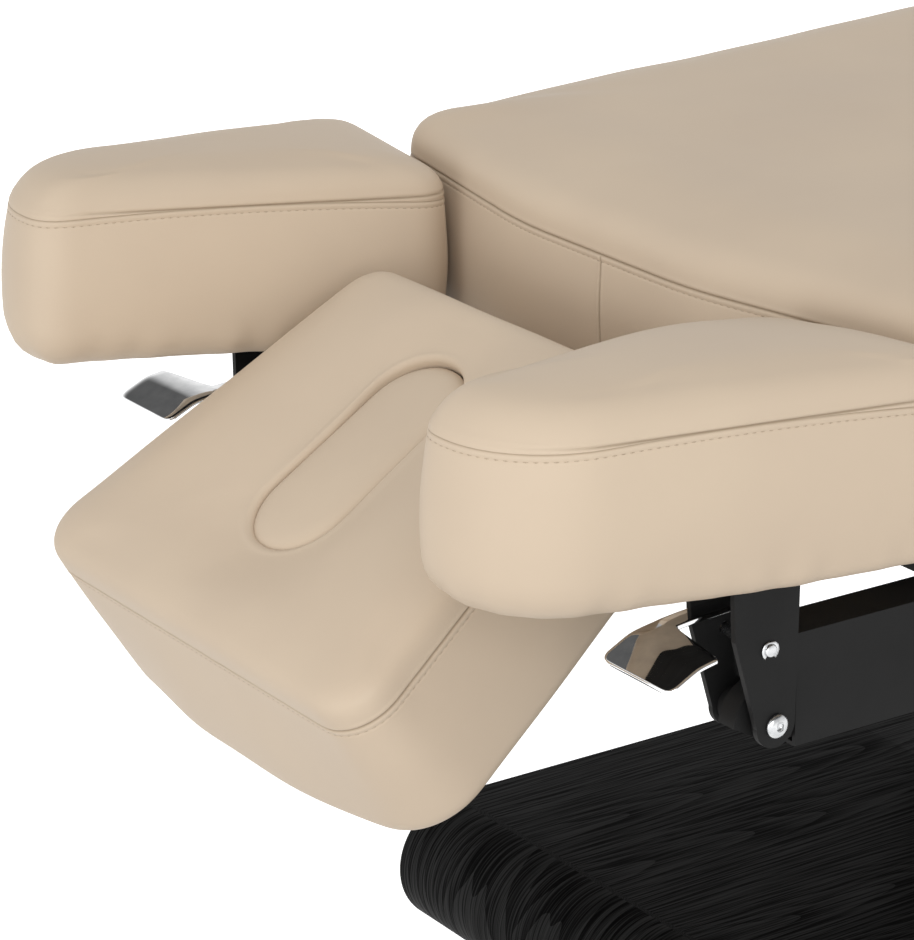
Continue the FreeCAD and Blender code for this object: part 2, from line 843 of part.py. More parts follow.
# Armrest joint on each rail's end: a lug with the spacer tube and a friction drum
pivot_x = head_x + size("arm_pivot_x")
pivot_z = seam - size("arm_pivot_drop")
drum = size("drum_radius")
lug = padded_body(
    "armrest_lug_right", "XZ_Plane",
    (
        (pivot_x + 6.0, pivot_z - 19.0),
        (pivot_x + 71.0, pivot_z - 17.0),
        (pivot_x + 71.0, pivot_z + drum),
        (pivot_x, pivot_z + drum, drum),
        (pivot_x - drum, pivot_z),
    ),
    face - size("rail_wall") - 18.0, 18.0)
spacer = size("spacer_radius")
spacer_path = (
    (pivot_x - spacer, pivot_z, spacer),
    (pivot_x, pivot_z - spacer, spacer),
    (pivot_x + spacer, pivot_z, spacer),
    (pivot_x, pivot_z + spacer, spacer),
)
spacer_low = size("bracket_inner") + size("bracket_plate") + 1.0
add_pad(lug, "XZ_Plane", spacer_path, spacer_low, size("bracket_outer") - 1.0 - spacer_low)
add_pocket(lug, "XZ_Plane", (pivot_x, pivot_z, size("bolt_radius") + size("fit")), spacer_low)
node(lug)
node(mirror("armrest_lug_left", lug))

# Head hinge: two lugs on the first cross tube, a shaft through them and friction hubs
head_pin_x = head_x + size("head_pivot_x")
head_pin_z = seam - size("head_pivot_drop")
lug_y = 145.0
lug_plate = 10.0
hub = 15.0
lug_eye = size("shaft_radius") + 8.0
head_lug = padded_body(
    "head_lug_right", "XZ_Plane",
    (
        (head_pin_x, head_pin_z - lug_eye),
        (first_cross, cross_z),
        (first_cross, board_z),
        (board_start - 2.0, board_z),
        (head_pin_x + lug_eye, head_pin_z, lug_eye),
        (head_pin_x, head_pin_z + lug_eye, lug_eye),
        (head_pin_x - lug_eye, head_pin_z, lug_eye),
    ),
    lug_y, lug_plate)
add_pocket(head_lug, "XZ_Plane", (head_pin_x, head_pin_z, size("shaft_radius") + 0.02), lug_y)
node(group("head_hinge_lugs", [head_lug, mirror("head_lug_left", head_lug)]))
shaft_half = lug_y + lug_plate + 6.0
node(rod(
    "head_shaft", "Y", head_pin_x, -shaft_half, head_pin_z, size("shaft_radius"), 2.0 * shaft_half))
hub_ring = rod("hub_ring", "Y", head_pin_x, -lug_y, head_pin_z, 17.0, hub)
hub_bore = rod(
    "hub_bore", "Y", head_pin_x, -lug_y - 1.0, head_pin_z, size("shaft_radius") + 0.02, hub + 2.0)
hub_right = cut("hub_right", hub_ring, hub_bore)
node(group("head_friction_hubs", [hub_right, mirror("hub_left", hub_right)]))

# Head section, built level and tipped down about the head shaft
head_back = head_x - size("head_gap")
head_front = head_back - size("head_length")
head_seam = seam + size("head_rise")
head_bottom = head_seam - size("head_border")
half_head = size("head_width") / 2.0
head_board_z = head_bottom - size("head_board")
tip = -size("head_tilt")


def head_piece(piece):
    """Tip a piece of the head section down."""
    tilt(piece, head_pin_x, head_pin_z, tip)
    return node(piece)


arm_y = lug_y - hub - 10.5
arm_low = head_board_z - size("head_arm")
eye = size("shaft_radius") + 7.0
arm_path = (
    (head_front + 40.0, arm_low + 12.0),
    (head_front + 52.0, arm_low),
    (head_pin_x, head_pin_z - eye, eye),
    (head_pin_x + eye, head_pin_z, eye),
    (head_pin_x, head_pin_z + eye),
    (head_x - 4.0, bottom - 4.0),
    (head_back - 16.0, head_board_z),
    (head_front + 40.0, head_board_z),
)
head_arm = padded_body("head_arm_right", "XZ_Plane", arm_path, arm_y, 10.0)
add_pocket(head_arm, "XZ_Plane", (head_pin_x, head_pin_z, size("shaft_radius") + size("fit")), arm_y)
head_piece(group("head_arms", [head_arm, mirror("head_arm_left", head_arm)]))

plug_x = head_front + size("plug_from_front")
half_plug = size("plug_length") / 2.0
side_plug = size("plug_width") / 2.0
ledge = size("plug_ledge")
neck_half = half_head - size("head_taper")
rim = size("head_rim")
gap = size("recess_gap")


def head_board_path(grow):
    """The head board's outline, a rim inside the cushion's, grown by a gap."""
    return rounded(
        head_front + rim - grow, head_back - rim + grow,
        -neck_half + rim - grow, neck_half - rim + grow, 30.0)


head_board = padded_body(
    "head_board", "XY_Plane", head_board_path(0.0), head_board_z, size("head_board"))
add_pocket(
    head_board, "XY_Plane",
    rounded(
        plug_x - half_plug + ledge, plug_x + half_plug - ledge,
        -side_plug + ledge, side_plug - ledge, side_plug - ledge - 1.0),
    head_board_z)
head_piece(head_board)

head_corners = (
    (head_front.value, -half_head.value, 38.0),
    (head_back.value, -neck_half.value, 30.0),
    (head_back.value, neck_half.value, 30.0),
    (head_front.value, half_head.value, 38.0),
)
head_pad = cushion(
    "head_pad", head_corners, head_seam.value, (size("head_border") + size("head_board")).value,
    size("head_crown").value, 0.75)
head_recess = padded_body(
    "head_recess", "XY_Plane", head_board_path(gap), head_board_z - 5.0, size("head_board") + 5.0)


def oblong(reach, side):
    """The face opening's loop of four large corners about its middle."""
    corner = side - 1.0
    return (
        (plug_x.value - reach, -side, corner),
        (plug_x.value + reach, -side, corner),
        (plug_x.value + reach, side, corner),
        (plug_x.value - reach, side, corner),
    )


well_depth = size("head_border").value + size("head_crown").value + 20.0
well_wire = round_wire(
    oblong(half_plug.value, side_plug.value), head_bottom.value - 5.0, 0.0, plug_x.value)
well = doc.addObject("Part::Feature", "face_well")
well.Shape = Part.Face(well_wire).extrude(Vector(0, 0, well_depth))
head_piece(cut("head_cushion", cut("head_block", head_pad, well), head_recess))

plug_reach = (half_plug - size("plug_gap")).value
plug_side = (side_plug - size("plug_gap")).value
plug_floor = head_bottom.value + size("plug_base").value
plug_rise = head_seam.value + size("head_crown").value - plug_floor
plug_levels = (
    (0.0, 3.0), (0.05, 0.6), (0.5, 0.0), (0.86, 0.4), (0.96, 3.0), (1.02, 9.0), (1.06, 19.0), (1.075, 30.0))
plug_wires = []
for share, step in plug_levels:
    loop = inset(oblong(plug_reach, plug_side), [step] * 4)
    plug_wires.append(round_wire(loop, plug_floor + plug_rise * share, 0.0, plug_x.value))
plug = doc.addObject("Part::Feature", "face_plug_cushion")
plug.Shape = Part.makeLoft(plug_wires, True, True)
head_piece(plug)
plug_base = padded_body(
    "face_plug_base", "XY_Plane",
    rounded(
        plug_x - half_plug + 4.0, plug_x + half_plug - 4.0,
        -side_plug + 4.0, side_plug - 4.0, side_plug - 5.0),
    head_bottom, size("plug_base"))
head_piece(plug_base)

# Back cushion: bowed head end, top rising towards the hips, foot end round about the hip hinge
half = half_top.value
x0 = head_x.value
x1 = (head_x + size("back_length")).value
rise = size("back_rise").value
lean = rise / size("back_length").value
radius = size("hinge_radius").value
drop = size("hinge_drop").value


def hip_end(height, step):
    """Inset of the back cushion's foot end that keeps it inside the hip hinge's circle."""
    over = height + rise * min(1.0, max(0.0, 1.0 + height / 60.0)) + drop
    if over <= 0.0:
        return step * 0.4
    return radius - math.sqrt(max(radius * radius - over * over, 0.0)) + 0.4


back_corners = (
    (x0, -110.0, 420.0),
    (x0 + 44.0, -half, 34.0),
    (x1, -half, 24.0),
    (x1, half, 24.0),
    (x0 + 44.0, half, 34.0),
    (x0, 110.0, 420.0),
)
node(cushion(
    "back_cushion", back_corners, seam.value, size("border").value, size("crown").value,
    1.0, lean, x0, {2: hip_end}))

seat_seam = seam.value + rise
seat_border = size("border").value + rise
seat_corners = (
    (seat_x.value, -half, 24.0),
    (seat_end.value, -half, 24.0),
    (seat_end.value, half, 24.0),
    (seat_x.value, half, 24.0),
)
node(cushion(
    "seat_cushion", seat_corners, seat_seam, seat_border, size("crown").value, 0.9))


def knee_end(height, step):
    """Inset of the leg cushion's head end that keeps it inside the knee hinge's circle."""
    under = -(height + rise + drop)
    if under <= 0.0:
        return step
    return max(step * 0.4, radius - math.sqrt(max(radius * radius - under * under, 0.0)) + 0.4)


leg_corners = (
    (leg_x.value, -half, 24.0),
    (leg_end.value, -half, 90.0),
    (leg_end.value, half, 90.0),
    (leg_x.value, half, 24.0),
)
node(cushion(
    "leg_cushion", leg_corners, seat_seam, seat_border, size("crown").value, 0.9,
    ends={3: knee_end}))
leg_board = padded_body(
    "leg_board", "XY_Plane",
    rounded(knee_x + 14.0, leg_end - 40.0, -board_half, board_half, 40.0), board_z, size("board"))
node(leg_board)
leg_cross = []
for number, (x, reach) in enumerate(((knee_x + 72.0, arm_face), (leg_end - 110.0, face))):
    leg_cross.append(tube(
        "leg_cross_%d" % number, x, -reach, leg_cross_z,
        size("leg_tube"), 2.0 * reach, size("leg_tube"), size("tube_wall"), "Y"))
node(group("leg_cross_tubes", leg_cross))
hinge_arms("leg_arms", knee_x, leg_cross_z, knee_x + 60.0, knee_x + 108.0)
leg_nose = knee_x + nose_step
leg_crank = padded_body(
    "leg_crank", "XZ_Plane",
    (
        (leg_nose - nose - 8.0, leg_cross_z),
        (leg_nose - nose, nose_z, nose),
        (leg_nose, nose_z - nose, nose),
        (leg_nose + nose, nose_z),
        (knee_x + 116.0, leg_cross_z),
    ),
    -size("lane") - half_crank, size("crank_plate"))
node(leg_crank)

# Armrests: cushion, board, two bracket plates, bolt and pin, and the release lever
arm_front = head_x - size("arm_nose")
arm_in = size("arm_inner")
arm_out = size("arm_outer")
arm_seam = seam + size("arm_lift")
arm_bottom = arm_seam - size("arm_border")
arm_board_z = arm_bottom
foot_in = head_x + size("arm_foot_inner")
foot_out = head_x + size("arm_foot_outer")


def arm_piece(label, piece):
    """Tilt a right-hand piece with its armrest and add its mirror image, tilted more, on the left."""
    tilt(piece, pivot_x, pivot_z, size("arm_tilt"))
    node(piece)
    other = mirror(label, piece)
    tilt(other, pivot_x, pivot_z, size("arm_tilt_left"))
    return node(other)


nose_width = (arm_out - arm_in - size("arm_taper")).value
nose_round = min(size("arm_nose_round").value, 0.79 * nose_width)
arm_corners = (
    (arm_front.value, -arm_out.value, nose_round),
    (foot_out.value, -(arm_out + size("arm_flare")).value, 28.0),
    (foot_in.value, -arm_in.value, 36.0),
    (arm_front.value, -(arm_in + size("arm_taper")).value, 0.24 * nose_width),
)
arm_spread = 0.00275 * nose_width
board_out = size("arm_rim")
board_in = size("arm_rim_inner")
board_width = (as_dim(nose_width) - board_out - board_in).value


def arm_board_path(grow):
    """The armrest board's outline, inside the cushion's, grown by a gap."""
    return rounded(
        arm_front + 64.0 - grow, foot_in - 24.0 + grow, -arm_out + board_out - grow,
        -arm_in - size("arm_taper") - board_in + grow, min(30.0, 0.45 * board_width))


arm_pad = cushion(
    "arm_pad", arm_corners, arm_seam.value, size("arm_border").value,
    size("arm_crown").value, arm_spread, -0.02, arm_front.value + 160.0)
arm_recess = padded_body(
    "arm_recess", "XY_Plane", arm_board_path(gap), arm_board_z - 5.0, size("arm_board") + gap + 5.0)
arm_piece("armrest_cushion_left", cut("armrest_cushion_right", arm_pad, arm_recess))
arm_piece("armrest_board_left", padded_body(
    "armrest_board_right", "XY_Plane", arm_board_path(0.0), arm_board_z, size("arm_board")))

pin_x = head_x + size("lever_pin_x")
pin_z = seam - size("lever_pin_drop")
edge = 17.5
plate_path = (
    (pivot_x + edge, pivot_z),
    (pivot_x + edge, arm_board_z),
    (pivot_x - 44.0, arm_board_z),
    (pivot_x - 40.0, pivot_z + 72.0),
    (pivot_x - edge, pivot_z, edge),
    (pivot_x, pivot_z - edge, edge),
)
flange = 20.0


def bracket(label, start, flange_start):
    """One bracket plate with a flange under the armrest board and two bores."""
    plate = padded_body(label, "XZ_Plane", plate_path, start, size("bracket_plate"))
    flange_path = (
        (pivot_x - 44.0, arm_board_z - size("bracket_plate")),
        (pivot_x + edge, arm_board_z - size("bracket_plate")),
        (pivot_x + edge, arm_board_z),
        (pivot_x - 44.0, arm_board_z),
    )
    add_pad(plate, "XZ_Plane", flange_path, flange_start, flange)
    add_pocket(plate, "XZ_Plane", (pivot_x, pivot_z, size("bolt_radius") + 0.02), start)
    add_pocket(plate, "XZ_Plane", (pin_x, pin_z, size("lever_pin_radius") + 0.02), start)
    return plate


outer = size("bracket_outer")
inner = size("bracket_inner")
arm_piece("armrest_plate_outer_left", bracket("armrest_plate_outer_right", outer, outer - flange))
arm_piece(
    "armrest_plate_inner_left",
    bracket("armrest_plate_inner_right", inner, inner + size("bracket_plate")))

outer_face = outer + size("bracket_plate")
shank = rod(
    "bolt_shank", "Y", pivot_x, -outer_face, pivot_z, size("bolt_radius"), outer_face - inner + 9.0)
button = rod("bolt_button", "Y", pivot_x, -outer_face - 5.5, pivot_z, 9.5, 5.5)
nut = rod("bolt_nut", "Y", pivot_x, -inner, pivot_z, 9.5, 8.0)
bolt_whole = fuse("bolt_whole", [shank, button, nut])
bolt_socket = rod("bolt_socket", "Y", pivot_x, -outer_face - 6.5, pivot_z, 3.6, 4.5)
bolt = cut("pivot_bolt", bolt_whole, bolt_socket)
pin_shank = rod(
    "lever_pin_shank", "Y", pin_x, -outer_face - 3.0, pin_z, size("lever_pin_radius"),
    outer_face - inner + 6.0)
clip_outer = rod("clip_outer", "Y", pin_x, -outer_face - 1.4, pin_z, 7.5, 1.2)
clip_inner = rod("clip_inner", "Y", pin_x, -inner + 0.2, pin_z, 7.5, 1.2)
lever_pin = fuse("lever_pin", [pin_shank, clip_outer, clip_inner])
arm_piece("armrest_fasteners_left", group("armrest_fasteners_right", [bolt, lever_pin]))

# Release lever: a bent steel strip with a wide paddle, on an ear that turns about the pin
strip = size("lever_strip")
bends = (
    (pin_x - 3.0, pin_z + 31.0),
    (pin_x - 51.0, pin_z + 27.5),
    (pin_x - 80.0, pin_z + 24.0),
    (pin_x - 95.0, pin_z + 21.0),
    (pin_x - 121.0, pin_z + 7.5),
)
strip_path = [(x, z) for x, z in bends]
strip_path += [(x - 0.5, z - strip) for x, z in reversed(bends)]
lever = padded_body(
    "release_lever_right", "XZ_Plane", tuple(strip_path), size("lever_inner"), size("lever_width"))
tip_x = pin_x - 121.5
lever_in = -size("lever_inner")
lever_out = lever_in - size("lever_width")
neck_y = lever_in - size("lever_neck")
root_x = pin_x - 2.0
shoulder = tip_x + 50.0
bend = 9.0
trim_outer = (
    (shoulder - bend, lever_out),
    (shoulder, lever_out + bend),
    (shoulder, neck_y - bend, -8.0),
    (shoulder + 8.0, neck_y - 1.0),
    (root_x + 10.0, neck_y),
    (root_x + 10.0, lever_out - 10.0),
    (shoulder - bend, lever_out - 10.0),
)
add_pocket(lever, "XY_Plane", trim_outer, pin_z)
trim_corner = (
    (tip_x - 5.0, lever_out - 5.0),
    (tip_x + bend, lever_out - 5.0),
    (tip_x + bend, lever_out, -bend),
    (tip_x, lever_out + bend),
    (tip_x - 5.0, lever_out + bend),
)
add_pocket(lever, "XY_Plane", trim_corner, pin_z)
trim_inner = (
    (tip_x - 5.0, lever_in + 5.0),
    (tip_x - 5.0, lever_in - bend),
    (tip_x, lever_in - bend, -bend),
    (tip_x + bend, lever_in),
    (tip_x + bend, lever_in + 5.0),
)
add_pocket(lever, "XY_Plane", trim_inner, pin_z)
ear_path = (
    (pin_x - 6.0, pin_z - 28.0),
    (pin_x + 4.0, pin_z - 28.0),
    (pin_x + 10.0, pin_z),
    (pin_x - 4.0, pin_z + 28.0),
    (pin_x - 14.0, pin_z + 27.5),
    (pin_x - 10.0, pin_z),
)
add_pad(lever, "XZ_Plane", ear_path, size("lever_inner") + 11.0, 8.0)
add_pocket(
    lever, "XZ_Plane", (pin_x, pin_z, size("lever_pin_radius") + size("fit")), size("lever_inner"))
arm_piece("release_lever_left", lever)

doc.recompute()
faults = [item.Label for item in doc.Objects if "Invalid" in item.State or "Error" in item.State]
for piece in nodes:
    shape = piece.Shape
    if shape.isNull() or not shape.isValid() or not shape.Solids:
        faults.append(piece.Label)
if faults:
    raise RuntimeError("pieces that failed: " + ", ".join(faults))

os.makedirs("parts", exist_ok=True)
for piece in nodes:
    piece.Shape.exportStep("parts/%s.step" % piece.Label)
print(len(nodes), "sub-parts written")
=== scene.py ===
import json
import math
from dataclasses import dataclass
from typing import Callable

import bpy
import numpy as np
from mathutils import Matrix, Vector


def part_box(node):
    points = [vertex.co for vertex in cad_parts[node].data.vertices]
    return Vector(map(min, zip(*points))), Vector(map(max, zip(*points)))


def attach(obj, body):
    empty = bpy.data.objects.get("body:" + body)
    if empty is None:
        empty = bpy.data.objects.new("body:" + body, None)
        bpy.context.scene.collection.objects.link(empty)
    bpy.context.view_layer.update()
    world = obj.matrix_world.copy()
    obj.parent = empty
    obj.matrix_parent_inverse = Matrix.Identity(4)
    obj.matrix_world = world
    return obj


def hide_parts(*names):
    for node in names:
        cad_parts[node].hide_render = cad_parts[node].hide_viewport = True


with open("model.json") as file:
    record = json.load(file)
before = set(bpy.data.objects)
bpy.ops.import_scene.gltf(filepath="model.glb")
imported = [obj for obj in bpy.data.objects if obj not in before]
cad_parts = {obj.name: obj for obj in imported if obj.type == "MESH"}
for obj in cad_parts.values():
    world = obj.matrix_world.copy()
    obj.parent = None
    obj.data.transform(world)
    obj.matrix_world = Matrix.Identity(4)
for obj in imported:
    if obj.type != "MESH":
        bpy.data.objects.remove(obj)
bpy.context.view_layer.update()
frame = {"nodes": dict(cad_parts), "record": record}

# Points are worked out in millimetres, in the frame of the bed, and become metres in the mesh.
MM = 0.001


# Curves

def smooth(share):
    """A smooth step from 0 to 1: t^2 (3 - 2 t), with t the share kept between 0 and 1."""
    share = np.clip(share, 0, 1)
    return share * share * (3 - 2 * share)


def hump(off, width):
    """A bell that is 1 in the middle: exp(-(off / width)^2)."""
    return np.exp(-(off / width) ** 2)


def lengths(path):
    """The distance along a path of each of its points."""
    return np.concatenate(([0], np.cumsum(np.linalg.norm(np.diff(path, axis=0), axis=1))))


def sampled(spots, steps, values):
    """Rows of values, given at the distances steps, read off at the distances spots by straight lines."""
    return np.stack([np.interp(spots, steps, column) for column in values.T], axis=-1)


# Meshes

def grid_quads(rows, columns, wrap_rows):
    """Quads of a grid whose columns wrap round: (i, j), (i, j + 1), (i + 1, j + 1), (i + 1, j)."""
    index = np.arange(rows * columns).reshape(rows, columns)
    if wrap_rows:
        index = np.vstack((index, index[:1]))
    beside = np.roll(index, -1, axis=1)
    return np.stack((index[:-1], beside[:-1], beside[1:], index[1:]), axis=-1).reshape(-1, 4)


def make_piece(name, points, quads, triangles=np.zeros((0, 3), int)):
    """A smooth mesh object from points in mm and whole arrays of quads and triangles."""
    corners = np.concatenate((quads.ravel(), triangles.ravel())).astype(np.int32)
    starts = np.concatenate((
        4 * np.arange(len(quads)), 4 * len(quads) + 3 * np.arange(len(triangles)))).astype(np.int32)
    mesh = bpy.data.meshes.new(name)
    mesh.vertices.add(len(points))
    mesh.vertices.foreach_set("co", (points * MM).astype(np.float32).ravel())
    mesh.loops.add(len(corners))
    mesh.loops.foreach_set("vertex_index", corners)
    mesh.polygons.add(len(starts))
    mesh.polygons.foreach_set("loop_start", starts)
    mesh.polygons.foreach_set("use_smooth", np.ones(len(starts), bool))
    mesh.update(calc_edges=True)
    mesh.validate()
    piece = bpy.data.objects.new(name, mesh)
    bpy.context.scene.collection.objects.link(piece)
    return piece


def skin_of(grid):
    """The (points, quads, triangles) of a grid closed by a fan at its first and last row."""
    rows, columns = grid.shape[:2]
    hub = rows * columns
    first = np.arange(columns)
    last = first + hub - columns
    triangles = np.vstack((
        np.stack((np.full(columns, hub), np.roll(first, -1), first), axis=-1),
        np.stack((np.full(columns, hub + 1), last, np.roll(last, -1)), axis=-1)))
    ends = np.array((grid[0].mean(axis=0), grid[-1].mean(axis=0)))
    return np.vstack((grid.reshape(-1, 3), ends)), grid_quads(rows, columns, False), triangles


def closed_skin(name, grid, wrap_rows):
    """A closed skin over grid[row, column], whose rows wrap round as well or end in two fans."""
    if wrap_rows:
        return make_piece(name, grid.reshape(-1, 3), grid_quads(*grid.shape[:2], True))
    return make_piece(name, *skin_of(grid))


def joined(name, skins):
    """One mesh object from several (points, quads, triangles) skins."""
    points, quads, triangles = zip(*skins)
    starts = np.cumsum([0] + [len(part) for part in points])
    return make_piece(
        name, np.vstack(points),
        np.vstack([part + start for part, start in zip(quads, starts)]),
        np.vstack([part + start for part, start in zip(triangles, starts)]))


# Plans of the cushions

class Plan:
    """A closed plan outline, anticlockwise: straight edges with an arc at each corner (x, y, radius), the
    whole eased by a Gaussian of the given length, sampled at even steps along it."""

    def __init__(self, corners, ease, samples=4096):
        spots = np.array(corners, float)
        arcs = []
        for before, here, after in zip(np.roll(spots, 1, 0), spots, np.roll(spots, -1, 0)):
            back = (before - here)[:2] / np.linalg.norm((before - here)[:2])
            ahead = (after - here)[:2] / np.linalg.norm((after - here)[:2])
            half = np.arccos(np.clip(back @ ahead, -1, 1)) / 2
            inward = (back + ahead) / np.linalg.norm(back + ahead)
            centre = here[:2] + inward * here[2] / np.sin(half)
            start = here[:2] + back * here[2] / np.tan(half) - centre
            first = np.arctan2(start[1], start[0])
            angles = first + np.linspace(0, 1, 90) * (np.pi - 2 * half)
            arcs.append(centre + here[2] * np.stack((np.cos(angles), np.sin(angles)), axis=-1))
        path = np.vstack(arcs + [arcs[0][:1]])
        steps = lengths(path)
        even = np.linspace(0, steps[-1], samples, endpoint=False)
        loop = sampled(even, steps, path) @ (1, 1j)
        wave = np.fft.fftfreq(samples, steps[-1] / samples) * 2 * np.pi * ease
        loop = np.fft.ifft(np.fft.fft(loop) * np.exp(-0.5 * wave ** 2))
        self.points = np.stack((loop.real, loop.imag), axis=-1)
        self.length = np.linalg.norm(self.points - np.roll(self.points, -1, 0), axis=1).sum()
        tangent = np.roll(self.points, -1, 0) - np.roll(self.points, 1, 0)
        tangent /= np.linalg.norm(tangent, axis=1, keepdims=True)
        self.normals = np.stack((tangent[:, 1], -tangent[:, 0]), axis=-1)

    def at(self, along):
        """Points and outward normals at distances along the outline."""
        count = len(self.points)
        spot = np.asarray(along) / self.length * count
        low = np.floor(spot).astype(int) % count
        share = (spot - np.floor(spot))[:, None]
        high = (low + 1) % count
        points = self.points[low] * (1 - share) + self.points[high] * share
        normals = self.normals[low] * (1 - share) + self.normals[high] * share
        return points, normals / np.linalg.norm(normals, axis=1, keepdims=True)

    def nearest(self, x, y):
        """Distance along the outline of its point nearest to (x, y)."""
        return np.argmin(np.hypot(*(self.points - (x, y)).T)) / len(self.points) * self.length

    def seen_from(self, centre, towards):
        """The outline's points in the directions of the given points, seen from a centre inside it."""
        own = np.angle((self.points - centre) @ (1, 1j))
        order = np.argsort(own)
        wanted = np.angle((towards - centre) @ (1, 1j))
        return np.stack([
            np.interp(wanted, own[order], self.points[order, axis], period=2 * np.pi)
            for axis in (0, 1)], axis=-1)

    def inset(self, spots):
        """How far each point of an array lies inside the outline: its distance from the tangent at the
        nearest of every eighth sample."""
        loop, normals = self.points[::8], self.normals[::8]
        depths = []
        for row in spots:
            near = ((row[:, None] - loop[None]) ** 2).sum(-1).argmin(-1)
            depths.append(np.abs(((loop[near] - row) * normals[near]).sum(-1)))
        return np.stack(depths)


def ripple(along, length, waves, seed):
    """Uneven waves that close round an outline: a sum of sines of about the given wave lengths, divided by
    the root of their number."""
    draw = np.random.default_rng(seed)
    total = np.zeros_like(along)
    for wave in waves:
        turns = max(1, round(length / wave))
        total += np.sin(2 * np.pi * (turns * along / length + draw.random())) * (0.6 + 0.8 * draw.random())
    return total / math.sqrt(len(waves))


def lumps(points, seed):
    """Slow unevenness of foam, about -1 to 1: twice the mean of seven plane waves 90 to 230 mm long."""
    draw = np.random.default_rng(seed)
    total = np.zeros(points.shape[:-1])
    for _ in range(7):
        way = draw.normal(size=3)
        way *= 2 * np.pi / draw.uniform(90, 230) / np.linalg.norm(way)
        total += np.sin(points @ way + draw.uniform(0, 2 * np.pi))
    return total / 3.5


# Boxed cushions

# The row of stitches under the seam, the fine rows beside the seam, and steps round the plan.
STITCH_BELOW = 5.5
STITCH_PITCH = 6.8
SEAM_ZONE = 11.0
SHOULDER_ZONE = 0.9
CROWN_POWER = 2.4
COLUMN_STEP = 4.5
COVER_STEP = 18.0
# Distance from the seam that marks the underside, where it is negative, and the wall of a well.
FAR = 1000.0

# Rows of each band of the skin, on the fine grid that shows and on the coarse one that is blown up: shares
# of the underside, angles round the bottom edge, shares of the border, mm from the seam, heights of the
# crown's rise, shares of the way to the middle, angles round a well's lip and shares of its wall.
FINE = {
    "under": np.array((0.12, 0.5, 0.85)),
    "turn": np.radians((0, 15, 30, 45, 60, 75, 90)),
    "border": np.linspace(0, 1, 13)[1:-1],
    "below": -np.array((11, 9, 7.6, 6.7, 6.1, 5.5, 4.9, 4.3, 3.5, 2.7, 2.0, 1.4, 0.9, 0.45)),
    "above": np.array((
        0, 0.01, 0.02, 0.033, 0.048, 0.068, 0.09, 0.12, 0.155, 0.2, 0.26, 0.33, 0.42, 0.51, 0.6, 0.69, 0.77,
        0.84, 0.9)),
    "crown": 1 - (1 - np.linspace(0, 0.97, 24)[1:]) ** 1.3,
    "lip": np.radians((15, 30, 45, 60, 75, 90)),
    "well": np.linspace(0, 1, 7)[1:],
}
COARSE = {
    "under": np.array((0.12, 0.5, 0.85)),
    "turn": np.radians((0, 45, 90)),
    "border": np.linspace(0, 1, 7)[1:-1],
    "below": -np.array((11, 5.5)),
    "above": np.array((0, 0.15, 0.5, 0.9)),
    "crown": 1 - (1 - np.linspace(0, 0.97, 11)[1:]) ** 1.3,
    "lip": np.radians((45, 90)),
    "well": np.linspace(0, 1, 4)[1:],
}
# Where each band lies on a scale from the underside to the middle: its zero, and its rows' span.
BAND_SCALE = {
    "under": (0, 1), "turn": (1, np.pi / 2), "border": (2, 1), "below": (4, SEAM_ZONE),
    "above": (4, SHOULDER_ZONE), "crown": (5, 0.5), "lip": (7, np.pi / 2), "well": (8, 1),
}
WELL_BANDS = ("lip", "well")

# A cover with a little air in it: light, and stiffer to stretch than to bend.
COVER_CLOTH = {
    "quality": 4, "mass": 0.4, "tension_stiffness": 25, "compression_stiffness": 25, "shear_stiffness": 15,
    "bending_stiffness": 2, "vertex_group_mass": "held", "use_pressure": True, "uniform_pressure_force": 4,
}
CLOTH_FRAMES = 20


def row_places(rows, ring):
    """A number for each row that grows from the underside to the middle of the top, or down a well."""
    return np.concatenate([
        zero + np.clip(rows[band] / span, -1, 1.99)
        for band, (zero, span) in BAND_SCALE.items() if ring or band not in WELL_BANDS])


def seam_relief(run):
    """Relief of a turned and stitched seam over the distance from it, less than 0 on the border: a notch
    1.2 mm deep on the seam, a soft roll on each side, and a groove under the row of stitches."""
    notch = -1.2 * hump(run, 0.8)
    roll = 0.4 * hump(np.abs(run) - 2.6, 1.5)
    groove = -0.5 * hump(run + STITCH_BELOW, 0.8)
    return notch + roll + groove


def blown_up(cover):
    """Where the points of a cover lie after it is blown up as cloth, in mm; the cover is then removed."""
    cloth = cover.modifiers.new("cover", "CLOTH")
    for name, value in COVER_CLOTH.items():
        setattr(cloth.settings, name, value)
    cloth.settings.effector_weights.gravity = 0
    cloth.point_cache.frame_end = CLOTH_FRAMES
    scene = bpy.context.scene
    for number in range(1, CLOTH_FRAMES + 1):
        scene.frame_set(number)
    shown = cover.evaluated_get(bpy.context.evaluated_depsgraph_get())
    points = np.empty(3 * len(cover.data.vertices), np.float32)
    shown.data.vertices.foreach_get("co", points)
    bpy.data.objects.remove(cover)
    scene.frame_set(1)
    return points.reshape(-1, 3) / MM


